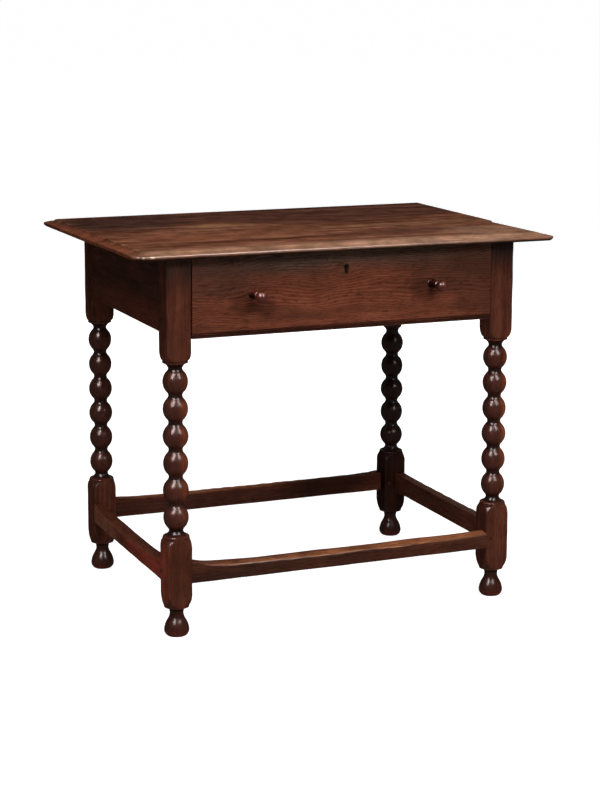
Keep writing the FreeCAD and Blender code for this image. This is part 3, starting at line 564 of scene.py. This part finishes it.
def stretcher_rings(seed, clear, face, quarter_turns, share, pale, ends):
    """Rings along one bar, drawn at the front of the table and turned to its side by quarter turns.

    share is how deep the bar is worn and pale how much its arris is rubbed, each 0 to 1. ends are how far
    off the left and the right leg the wear starts, less than 0 where it starts inside.
    """
    s = np.linspace(-clear - INTO_LEG, clear + INTO_LEG, round(clear / 1.6) + 1)
    fade = np.clip((clear - abs(s)) / 25, 0, 1)
    rub = np.where(s < 0, wear_share(s, clear - ends[0]), wear_share(s, clear - ends[1]))
    depth = rub * share
    outer = (BAR_TOP - depth * OUTER_WEAR * (1 + 0.10 * ripple(s, seed, 120))
             - 0.5 * fade * (1 + ripple(s, seed + 1, 30)))
    inner = BAR_TOP - depth * INNER_WEAR * (1 + 0.08 * ripple(s, seed + 2, 150))
    low = np.full_like(s, BAR_UNDERSIDE)
    corners = np.stack([np.stack([np.full_like(s, side), height], -1)
                        for side, height in ((-HALF_BAR, outer), (-HALF_BAR, low), (HALF_BAR, low),
                                             (HALF_BAR, inner))], 1)
    radii = np.stack([1.4 + 1.8 * depth, 1.3 + 0.4 * ripple(s, seed + 3, 60),
                      np.full_like(s, 1.2), 1.3 + 2.0 * depth], -1)
    section = rounded(corners, radii)
    y = -face + BAR_INSET + HALF_BAR + section[..., 0] + 0.25 * (fade * ripple(s, seed + 4, 110))[:, None]
    z = section[..., 1] + 0.2 * (fade * ripple(s, seed + 5, 140))[:, None]
    a = quarter_turns * math.pi / 2
    x = np.broadcast_to(s[:, None], y.shape)
    points = np.stack([x * math.cos(a) - y * math.sin(a), x * math.sin(a) + y * math.cos(a) + FRAME_MIDDLE, z], -1)
    # Columns 0 to 6 round the outer upper corner, 7 to 39 go down, under and up, 40 to 43 cross the top.
    top = np.interp(np.arange(section.shape[1]), [0, 2, 4, 6, 8, 39, 40, 43], [1, 1, 0.7, 0.3, 0, 0, 0.65, 0.65])
    worn = np.clip(rub[:, None] * pale * top * (1.0 + 0.3 * ripple(s, seed + 6, 70))[:, None], 0, 1)
    return points, {"worn": worn, "polish": worn}


print("wear 10, 50 and 150 mm from a leg:", wear_share(np.array((-287, -247, -147)), 288).round(2))

# %% [markdown]
# ## The four stretchers
# Each bar has its own wear: full at the front, nearly full at the left, slight at the rear and hardly any
# at the right. The front bar's wear runs on into the right leg, where a foot could reach the end of it.

# %% Stretchers
STRETCHERS = {"stretcher_front": (297, 249, 0, 1.0, 1.0, (9, -50)),
              "stretcher_right": (203, 343, 1, 0.1, 0.8, (9, 9)),
              "stretcher_rear": (297, 249, 2, 0.3, 1.2, (9, 9)),
              "stretcher_left": (203, 343, 3, 0.9, 0.9, (9, 9))}
BAR_PATCHES = [((-0.150, -0.2473, 0.112), (0.300, 0.003, 0.060), "#2E1D16", 0.8),
               ((0.270, -0.2473, 0.112), (0.120, 0.003, 0.060), "#3A241A", 0.6),
               ((0.180, -0.2360, 0.132), (0.160, 0.012, 0.012), "#8E5634", 0.6),
               ((-0.3438, -0.130, 0.112), (0.003, 0.160, 0.060), "#8E3E30", 0.85),
               ((-0.3438, 0.140, 0.112), (0.003, 0.120, 0.060), "#80503E", 0.85),
               ((0.320, 0.000, 0.112), (0.060, 0.400, 0.060), "#563024", 0.7),
               ((-0.090, 0.2400, 0.142), (0.200, 0.030, 0.011), "#A0623E", 0.85),
               ((-0.100, 0.2400, 0.112), (0.300, 0.030, 0.018), "#42261E", 0.7),
               ((0.180, 0.2400, 0.118), (0.120, 0.030, 0.030), "#1C0E0A", 0.75)]
bar_oak = {grain: oak("worn_oak_bar_" + grain.lower(), grain, ["#3E2016", "#4C281C", "#5C3224"], "#24110B",
                      shine=0.02, gloss=0.25, wander=0.006, lines=0.25, dashes=0.5, patches=BAR_PATCHES,
                      rubbed=rubbed, rubbed_shine=0.10) for grain, rubbed in (("X", "#8C5636"), ("Y", "#5C3222"))}
for seed, (node, (clear, face, turns, share, pale, ends)) in enumerate(STRETCHERS.items(), 5):
    rings, marks = stretcher_rings(seed * 10, clear, face, turns, share, pale, ends)
    grain = "Y" if turns % 2 else "X"
    skin(node + "_worn", rings, bar_oak[grain], node, marks)

# %% [markdown]
# ## The moulded top
# Each board is planed flat, then moulded by hand along its edges: a small step, a long low curve, an upright
# nose and a bevel beneath. The profile is carried round the board's outline as a stack of outlines, each
# set in from the edge by its own distance and at its own height. The side at the joint isn't set in, so the
# profile shows at the ends of the joint, as it does on the real boards. A corner that is cut off keeps its
# own edge until the edges beside it meet. Wear softens the nose and the step, most along the front.

# %% Board outlines
JOINT_LEFT, JOINT_RIGHT = (-416, -63.5), (415, -25.5)
HALF_GAP = 0.15                          # half the crack between the boards


def joint_y(x):
    """Y of the joint at x: the straight line between its two ends, in mm."""
    share = (x - JOINT_LEFT[0]) / (JOINT_RIGHT[0] - JOINT_LEFT[0])
    return JOINT_LEFT[1] + share * (JOINT_RIGHT[1] - JOINT_LEFT[1])


def cut_corner(before, corner, after, clip):
    """The two points that replace a corner whose tip is cut off."""
    before, corner, after = (np.array(p, dtype=float) for p in (before, corner, after))
    return [corner + (p - corner) / np.linalg.norm(p - corner) * clip for p in (before, after)]


def crossing(p, a, q, b):
    """Point where the line from p along a meets the line from q along b."""
    share = ((q[0] - p[0]) * b[1] - (q[1] - p[1]) * b[0]) / (a[0] * b[1] - a[1] * b[0])
    return p + share * a


def set_in(corners, distance):
    """Corners of the outline with every side but the last moved in by a distance.

    A side that shrinks to nothing gives way to the point where its neighbours meet.
    """
    corners = np.array(corners, dtype=float)
    ways = np.roll(corners, -1, axis=0) - corners
    ways /= np.linalg.norm(ways, axis=1, keepdims=True)
    inward = np.stack([-ways[:, 1], ways[:, 0]], axis=1)
    inward[-1] = 0
    starts = corners + inward * distance
    count = len(corners)
    moved = np.array([crossing(starts[i - 1], ways[i - 1], starts[i], ways[i]) for i in range(count)])
    for i in range(count):
        after = (i + 1) % count
        if np.dot(moved[after] - moved[i], ways[i]) < 0:
            meet = crossing(starts[i - 1], ways[i - 1], starts[after], ways[after])
            moved[i] = moved[after] = meet
    return moved


front_start, front_end = (-413, joint_y(-413) - HALF_GAP), (403, joint_y(403) - HALF_GAP)
front_left, front_right = (-412, -282.5), (409, -282.5)
FRONT_BOARD = [front_start, *cut_corner(front_start, front_left, front_right, 18),
               *cut_corner(front_left, front_right, front_end, 4.5), front_end]
rear_start, rear_end = ((x, y + HALF_GAP) for x, y in (JOINT_RIGHT, JOINT_LEFT))
rear_right, rear_left = (420, 299.5), (-420, 285.5)
REAR_BOARD = [rear_start, *cut_corner(rear_start, rear_right, rear_left, 9),
              *cut_corner(rear_right, rear_left, rear_end, 18), rear_end]
print("front board corners", len(FRONT_BOARD), "rear board corners", len(REAR_BOARD))

# %% [markdown]
# ## The moulded edge
# The moulding could be swept along a curve, but a sweep can't keep the joint's side plain or let a cut
# corner run out. Here the pairs of distance and height below make one ring each. Two marks say where the
# wood is rubbed pale and where the nose is polished by sleeves.

# %% Board rings
nose_curve = arc((0.9, 698.75), (19.7, 702.6), 1.5, 1.6)
EDGE_PROFILE = np.array([(26, 690.0), (5.6, 690.0), (4.4, 690.5), (2.4, 692.2), (0.9, 693.7), (0.25, 694.7),
                         (0.0, 696.0), (0.1, 697.2), (0.4, 698.1), (0.9, 698.75), *nose_curve.tolist(),
                         (20.0, 702.85), (20.2, 703.6), (20.9, 704.0), (34, 704.0)])
NOSE, STEP = 697.0, 20.2                 # height of the nose's middle, distance of the step from the edge


def outline_columns(corners, spacing):
    """For each column of a ring: the side it is on, its share of the side, and its way along the outline."""
    lengths = np.linalg.norm(np.roll(corners, -1, axis=0) - corners, axis=1)
    counts = np.maximum(3, np.round(lengths / spacing)).astype(int)
    side = np.repeat(np.arange(len(corners)), counts)
    share = np.concatenate([np.arange(n) / n for n in counts])
    return side, share, np.concatenate([[0], np.cumsum(lengths)])[side] + share * lengths[side]


def board_rings(seed, corners, wear, spacing=5.0):
    """Rings of one board from its underside to its top. wear is how worn each side is, 0 to 1.

    The wear passes from side to side over a few columns. The nose moves in by up to 0.9 mm where it is
    dented, and the step is up to 0.8 mm shallower where it is worn.
    """
    side, share, along = outline_columns(np.array(corners), spacing)
    soft = np.exp(-0.5 * (np.arange(-6, 7) / 3) ** 2)
    free = (side != len(corners) - 1).astype(float)
    rub = free * np.convolve(np.pad(np.array(wear)[side], 6, mode="wrap"), soft / soft.sum(), "valid")
    rings = []
    for distance, height in EDGE_PROFILE:
        points = set_in(corners, distance)
        ring = points[side] + share[:, None] * (np.roll(points, -1, axis=0)[side] - points[side])
        rings.append(np.column_stack([ring, np.full(len(ring), height)]))
    rings = np.array(rings)
    inward = rings[-1, :, :2].mean(axis=0) - rings[..., :2]
    inward /= np.linalg.norm(inward, axis=-1, keepdims=True)
    distance, height = EDGE_PROFILE[:, :1], EDGE_PROFILE[:, 1:]
    nose = np.exp(-((height - NOSE) / 3.5) ** 2) * (distance < 3)
    dents = rub * (0.35 + 0.35 * ripple(along, seed, 60) + 0.2 * ripple(along, seed + 1, 17))
    rings[..., :2] += inward * (nose * np.clip(dents, 0, 0.9))[..., None]
    step = (abs(distance - STEP) < 0.9) & (height < 703.5)
    rings[..., 2] += step * rub * np.clip(0.55 + 0.25 * ripple(along, seed + 2, 90), 0, 0.8)
    upper = np.interp(height, [NOSE, NOSE + 2.4], [0, 1]) * np.interp(distance, [20, 34], [1, 0])
    worn = upper * rub * np.clip(0.9 + 0.25 * ripple(along, seed + 3, 120), 0, 1)
    crest = (distance > 20.1) & (distance < 21)
    worn = np.maximum(worn, crest * free * (0.45 + 0.3 * ripple(along, seed + 4, 40)))
    buffed = (0.15 + 0.85 * np.exp(-((height - 697.3) / 1.8) ** 2)) * (distance < 21)
    return rings, {"worn": worn, "polish": buffed * np.clip(rub * 1.3, 0, 1)}


print("edge profile", len(EDGE_PROFILE), "rings")

# %% [markdown]
# ## The two boards
# The top has faded, darkened and been scrubbed in patches, and its front edge is the palest. Small pale spots at
# the left front corner are chips of fresh wood and partly painted glints, and the bevel under the nose is painted
# shade.

# %% Boards
TOP_PATCHES = [
    ((0.02, -0.264, 0.704), (0.60, 0.034, 0.03), "#7A5844", 0.75),
    ((0.14, -0.268, 0.704), (0.24, 0.028, 0.03), "#94705A", 0.5),
    ((-0.30, 0.17, 0.704), (0.16, 0.14, 0.03), "#30211C", 0.85),
    ((-0.13, 0.05, 0.704), (0.080, 0.034, 0.03), "#8A6042", 0.75),
    ((-0.20, -0.10, 0.704), (0.20, 0.05, 0.03), "#744630", 0.6),
    ((0.24, -0.045, 0.704), (0.22, 0.022, 0.03), "#80583F", 0.6),
    ((0.17, -0.15, 0.704), (0.14, 0.05, 0.03), "#523228", 0.7),
    ((0.34, -0.19, 0.704), (0.12, 0.07, 0.03), "#7E5E4A", 0.65),
    ((0.12, 0.17, 0.704), (0.45, 0.14, 0.03), "#3A211A", 0.75),
    ((-0.418, -0.05, 0.700), (0.022, 0.36, 0.03), "#6E3C28", 0.85),
    ((0.0, 0.296, 0.700), (1.5, 0.016, 0.03), "#281812", 0.8),
    # Painted shade: the bevel under the front nose is painted near black.
    ((0.0, -0.290, 0.6910), (1.5, 0.060, 0.0042), "#140A07", 0.9),
    ((0.417, 0.14, 0.700), (0.010, 0.24, 0.03), "#2C1A14", 0.8)]
# A dark streak runs along the front board, 17 mm in front of the joint's right half.
TOP_PATCHES += [((x, -0.0615 + 0.0452 * x, 0.704), (0.05, 0.0022, 0.03), "#2A1812", 0.75)
                for x in (0.14, 0.21, 0.28, 0.35)]
# Pale spots at the left front corner: chips of fresh wood, and partly painted glints where the nose catches light.
CHIPS_AND_GLINTS = [((-0.4045, -0.2775, 0.698), (0.004, 0.006, 0.003), "#D8B8A4", 0.8),
         ((-0.3965, -0.2820, 0.697), (0.003, 0.005, 0.002), "#D8B8A4", 0.7),
         ((-0.3800, -0.2825, 0.697), (0.005, 0.005, 0.002), "#B89884", 0.7)]
top_oak = oak("waxed_oak_top", "X", ["#3A2117", "#52301F", "#68402E", "#7E523E"], "#38201A", shine=0.015, gloss=0.3,
              wander=0.010, lines=0.25, dashes=0.3, mottle=0.3, rubbed="#90684E", rubbed_shine=0.15,
              patches=TOP_PATCHES + CHIPS_AND_GLINTS)
boards = {}
for seed, node, corners, wear in ((31, "top_front_board", FRONT_BOARD, (0.2, 0.7, 1.0, 0.5, 0.35, 0)),
                                  (41, "top_rear_board", REAR_BOARD, (0.15, 0.1, 0.1, 0.1, 0.15, 0))):
    rings, marks = board_rings(seed, corners, wear)
    boards[node] = skin(node + "_moulded", rings, top_oak, node, marks)

# %% [markdown]
# ## Room for the lock bolt
# With the drawer shut, the lock's bolt rises into the underside of the front board. A skin over rings can't
# have a pocket, so a block that is a little larger than the bolt is subtracted from it.

# %% Bolt pocket
BOLT_ROOM, BOLT_RISE = 0.0008, 0.0083    # free space round the bolt, and a little more than it rises


def cut_pocket(piece, low, high):
    """Subtract the block between two corners, in metres, from a piece at the origin."""
    block = bmesh.new()
    place = Matrix.Translation((low + high) / 2) @ Matrix.Diagonal((*(high - low), 1.0))
    bmesh.ops.create_cube(block, size=1.0, matrix=place)
    mesh = bpy.data.meshes.new("pocket")
    block.to_mesh(mesh)
    block.free()
    cutter = add_object("pocket", mesh)
    cut = piece.modifiers.new("pocket", "BOOLEAN")
    cut.operation, cut.solver, cut.object = "DIFFERENCE", "EXACT", cutter
    carved = bpy.data.meshes.new_from_object(piece.evaluated_get(bpy.context.evaluated_depsgraph_get()))
    piece.modifiers.clear()
    piece.data = carved
    carved.set_sharp_from_angle(angle=SHARP)
    bpy.data.objects.remove(cutter)
    bpy.data.meshes.remove(mesh)
    print(piece.name, "after the cut", len(carved.polygons), "faces")


bolt_low, bolt_high = (np.array(corner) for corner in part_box("lock_bolt"))
print("lock bolt", bolt_low.round(4), bolt_high.round(4))
cut_pocket(boards["top_front_board"], bolt_low - BOLT_ROOM, bolt_high + BOLT_ROOM + (0, 0, BOLT_RISE))

# %% [markdown]
# ## The other boards
# The drawer front is the reddest and streakiest board. It is darker below the knobs and at its right end, and
# painted shade darkens it under the top and in the groove above its bead. The rails are dark oak that hardly
# sees light; painted shade darkens the left rail's top and painted light brightens its lower front. The
# drawer's inside was never waxed: dry, greyish oak that dulls all light. The pegs are end grain, as dark as
# the wood round them.

# %% Rails, drawer and small pieces
def dress(names, material):
    """Put one material on CAD nodes."""
    for name in names:
        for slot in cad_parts[name].material_slots:
            slot.material = material


# Painted shade under the top's front edge, deeper at the upper left.
FRONT_PATCHES = [((0.02, -0.246, 0.696), (0.70, 0.05, 0.044), "#46382F", 0.85),
                 ((-0.25, -0.246, 0.655), (0.10, 0.05, 0.045), "#442C24", 0.55),
                 # Darker wood at the right end, and darker wood below the knobs.
                 ((0.27, -0.246, 0.615), (0.075, 0.05, 0.12), "#42241A", 0.65),
                 ((-0.200, -0.246, 0.601), (0.026, 0.05, 0.022), "#34190F", 0.6),
                 ((-0.155, -0.246, 0.593), (0.020, 0.05, 0.020), "#34190F", 0.6),
                 ((0.155, -0.246, 0.606), (0.026, 0.05, 0.022), "#34190F", 0.5),
                 # Painted shade at the upper right, under the top.
                 ((0.24, -0.246, 0.665), (0.14, 0.05, 0.045), "#40291F", 0.5),
                 # Painted shade: a thin dark line in the groove above the bead. Below it the bead is darker.
                 ((0.0, -0.246, 0.5526), (3.0, 0.05, 0.0018), "#241310", 0.7),
                 ((0.0, -0.246, 0.5462), (3.0, 0.05, 0.0052), "#22120D", 0.85)]
front_oak = oak("waxed_oak_drawer_front", "X", ["#4E2A1E", "#5C3222", "#673726", "#71402C"], "#2A140D", shine=0.02,
                gloss=0.35, wander=0.022, lines=0.16, dashes=0.55, mottle=0.08, figure=0.16, patches=FRONT_PATCHES)
# Painted shade darkens the left rail's top under the overhang, and painted light brightens its lower front.
RAIL_SHADE_AND_LIGHT = [((-0.34, 0.0, 0.692), (0.05, 0.8, 0.045), "#1C0E0A", 0.8),
                ((-0.34, -0.10, 0.565), (0.05, 0.30, 0.035), "#5E2C1F", 0.6)]
rail_oak = {grain: oak("dark_oak_rail_" + grain.lower(), grain, ["#32190F", "#422216", "#502C1E"], "#1E0E09",
                       shine=0.015, gloss=0.4, wander=0.012, lines=0.25, dashes=0.4, patches=RAIL_SHADE_AND_LIGHT)
            for grain in "XY"}
lining_oak = {grain: oak("dry_oak_lining_" + grain.lower(), grain, ["#6A4E36", "#7E6044", "#8E7052"], "#4A3422",
                         shine=0.0, gloss=0.5, wander=0.012, lines=0.2, matt=0.75) for grain in "XY"}
runner_oak = oak("rubbed_oak_runner", "Y", ["#5A4030", "#6E5039", "#7E5E44"], "#3E2A1C", shine=0.02, gloss=0.4,
                 wander=0.006, lines=0.2, matt=0.65)
peg_oak = oak("end_grain_oak_peg", "Z", ["#341A12", "#402218", "#4A281C"], "#22100A", shine=0.02, gloss=0.3,
              wander=0.002, lines=0.15, dashes=0.3)
# Each knob's patch is painted shade on the underside of its neck.
knob_oak = oak("handled_oak_knob", "Y", ["#3A1810", "#4A2016", "#5A2A1E"], "#180907", shine=0.12, gloss=0.24,
               wander=0.002, lines=0.15, dashes=0.3, tooling=0.2,
               patches=[((side, -0.256, 0.6110), (0.03, 0.030, 0.013), "#120806", 0.9) for side in (-0.1815, 0.172)])

dress(["drawer_front"], front_oak)
dress(["rear_rail"], rail_oak["X"])
dress(["side_rail_left", "side_rail_right"], rail_oak["Y"])
dress(["drawer_side_left", "drawer_side_right", "drawer_bottom_board_1", "drawer_bottom_board_2",
       "drawer_bottom_board_3"], lining_oak["Y"])
dress(["drawer_back"], lining_oak["X"])
dress(["drawer_runner_left", "drawer_runner_right"], runner_oak)
dress(["top_pegs", "rail_pegs", "stretcher_pegs"], peg_oak)

# %% [markdown]
# ## Knobs
# A knob is turned in one piece: a tenon for the hole in the drawer front, a thick neck with a small ring at
# its end, and a ball. Its rings stand one before the other, towards the hand.

# %% Knobs
TENON_RADIUS, TENON_LENGTH, BALL_RADIUS = 4.4, 20.0, 11.0
BALL_START, BALL_END = (6.8, 33.35), (1.0, 52.95)
half_chord = math.dist(BALL_START, BALL_END) / 2
KNOB_STEPS = [(TENON_RADIUS, 0.0, 0, 4), (8.4, 0.05, 0, 1), (8.4, 1.6, 0.2, 0.5), (7.4, 3.0, -0.2, 0.6),
              (7.0, 29.0, -0.3, 2), (8.3, 30.2, 0, 0.4), (8.3, 31.4, 0.3, 0.4), (*BALL_START, -0.2, 0.6),
              (*BALL_END, BALL_RADIUS - math.sqrt(BALL_RADIUS ** 2 - half_chord ** 2), 0.9)]


def knob_rings(x, face=-246.5, height=618.5, columns=40):
    """Rings of one knob, from the end of its tenon out to the front of its ball."""
    rows = [np.array([(TENON_RADIUS, -TENON_LENGTH)])]
    for radius, reach, bulge, spacing in KNOB_STEPS:
        rows.append(arc(rows[-1][-1], (radius, reach), bulge, spacing))
    radius, reach = (column[:, None] for column in np.concatenate(rows).T)
    around = np.linspace(0, 2 * np.pi, columns, endpoint=False)
    return np.stack([x + radius * np.cos(around), np.broadcast_to(face - reach, (len(radius), columns)),
                     height + radius * np.sin(around)], axis=-1)


for node, x in (("knob_left", -181.5), ("knob_right", 172.0)):
    skin(node + "_turned", knob_rings(x), knob_oak, node, {}, body="drawer")

# %% [markdown]
# ## Metal
# The lock, its pins and the nails are wrought iron: black scale with brown rust in the hollows, so the metal
# is rough and only partly bare. The keyhole's lining is brass that has gone nearly black.

# %% Metals
def old_metal(name, clean, stained, metallic, rough, grit):
    """Metal whose stain covers it in spots. grit is the size of a spot, in metres."""
    material, tree, shader = new_material(name)
    spots = noise(tree, add_node(tree, "TexCoord").outputs["Object"], 1 / grit, 4.0)
    mask = remap(tree, spots, (0.42, 0.6), (0, 1))
    tree.links.new(cover(tree, srgb(clean), mask, stained), shader.inputs["Base Color"])
    tree.links.new(remap(tree, spots, (0, 1), (rough - 0.15, rough + 0.2)), shader.inputs["Roughness"])
    shader.inputs["Metallic"].default_value = metallic
    pits = add_node(tree, "Bump", {"Height": spots, "Strength": 0.4, "Distance": 0.0003})
    tree.links.new(pits.outputs["Normal"], shader.inputs["Normal"])
    print(name, len(tree.nodes), "nodes")
    return material


iron = old_metal("wrought_iron", "#3C3836", "#3A2A22", 0.7, 0.55, 0.002)
brass = old_metal("tarnished_brass", "#1E1610", "#0E0A08", 1.0, 0.6, 0.005)
dress(["lock_plate", "lock_bolt", "lock_bolt_guide", "lock_key_pin", "lock_spring", "runner_nails",
       "drawer_nails", "lock_nails"], iron)
dress(["keyhole_liner"], brass)

# %% [markdown]
# ## Stage and light
# A plain pale floor reaches past the horizon. Seen straight or in a reflection, the floor and the
# surroundings are white, and the table's shadow stays on the floor. A wide softbox in front lights the
# drawer from a third of the way up, so that the top shades the first 20 mm below it. Two softboxes hang
# over the front, one to each side, and beside each is a brighter lamp that only gloss shows: it draws the
# pair of highlights on every bobbin without flooding the wood with light. One softbox behind and to the
# right keeps the back from going black, and a soft light from far above evens out the floor.

# %% Stage and light
FLOOR_GLOW = 0.88                        # with the light on it this makes the floor just white


def seen(tree):
    """1 for rays from the camera and for those reflected by gloss or passing through glass, else 0."""
    path = add_node(tree, "LightPath")
    first = calc(tree, "MAXIMUM", path.outputs["Is Camera Ray"], path.outputs["Is Glossy Ray"])
    return calc(tree, "MAXIMUM", first, path.outputs["Is Transmission Ray"])


def make_floor(half=150.0):
    """Square floor about the origin, pale, with a glow that only seen rays meet."""
    mesh = bpy.data.meshes.new("floor")
    mesh.from_pydata([(-half, -half, 0), (half, -half, 0), (half, half, 0), (-half, half, 0)], [], [(0, 1, 2, 3)])
    floor = add_object("floor", mesh)
    material, tree, shader = new_material("pale_floor")
    shader.inputs["Base Color"].default_value = (0.5, 0.5, 0.5, 1)
    shader.inputs["Roughness"].default_value = 0.9
    shader.inputs["Specular IOR Level"].default_value = 0.0
    shader.inputs["Emission Color"].default_value = (1, 1, 1, 1)
    tree.links.new(calc(tree, "MULTIPLY", seen(tree), FLOOR_GLOW), shader.inputs["Emission Strength"])
    mesh.materials.append(material)


def make_world(ambient):
    """White to seen rays, and a weak even light from all round to the others."""
    world = bpy.data.worlds.new("studio")
    bpy.context.scene.world = world
    world.use_nodes = True
    tree = world.node_tree
    background = tree.nodes["Background"]
    background.inputs["Color"].default_value = (1, 1, 1, 1)
    tree.links.new(remap(tree, seen(tree), (0, 1), (ambient, 1.0)), background.inputs["Strength"])


def aim(lamp, direction):
    """Turn a lamp so that it shines along a direction."""
    lamp.rotation_euler = direction.to_track_quat("-Z", "Y").to_euler()


def softbox(name, centre, target, width, height, watts, gloss_only=False):
    """Rectangular lamp at a point that faces another point. Its radiance is watts / (pi * its area)."""
    data = bpy.data.lights.new(name, "AREA")
    data.shape = "RECTANGLE"
    data.size = width
    data.size_y = height
    data.energy = watts
    lamp = add_object(name, data)
    lamp.location = centre
    aim(lamp, Vector(target) - Vector(centre))
    lamp.visible_diffuse = not gloss_only
    print(name, "radiance", round(watts / (math.pi * width * height), 1))


def sunlight(name, direction, strength, angle):
    """Even light over the whole floor, as from one very large softbox far above."""
    data = bpy.data.lights.new(name, "SUN")
    data.energy = strength
    data.angle = math.radians(angle)
    lamp = add_object(name, data)
    aim(lamp, -Vector(direction))


make_floor()
make_world(0.08)
softbox("softbox_front", (-0.20, -3.60, 2.60), (0, 0, 0.5), 1.6, 1.0, 95)
softbox("softbox_left", (-0.98, -0.93, 2.33), (0, 0, 0.4), 0.5, 0.7, 16)
softbox("softbox_right", (0.45, -1.00, 2.26), (0, 0, 0.4), 0.5, 0.7, 12)
softbox("softbox_back", (1.50, 3.20, 1.30), (0, 0, 0.4), 1.6, 1.0, 42)
softbox("glint_left", (-1.40, -1.20, 2.00), (0, -0.2, 0.4), 0.8, 1.8, 680, gloss_only=True)
softbox("glint_right", (0.46, -1.58, 1.89), (0, -0.2, 0.4), 0.6, 1.6, 340, gloss_only=True)
sunlight("overhead", (-0.15, -0.25, 1.0), 0.5, 60)
bpy.context.scene.view_settings.view_transform = "Standard"
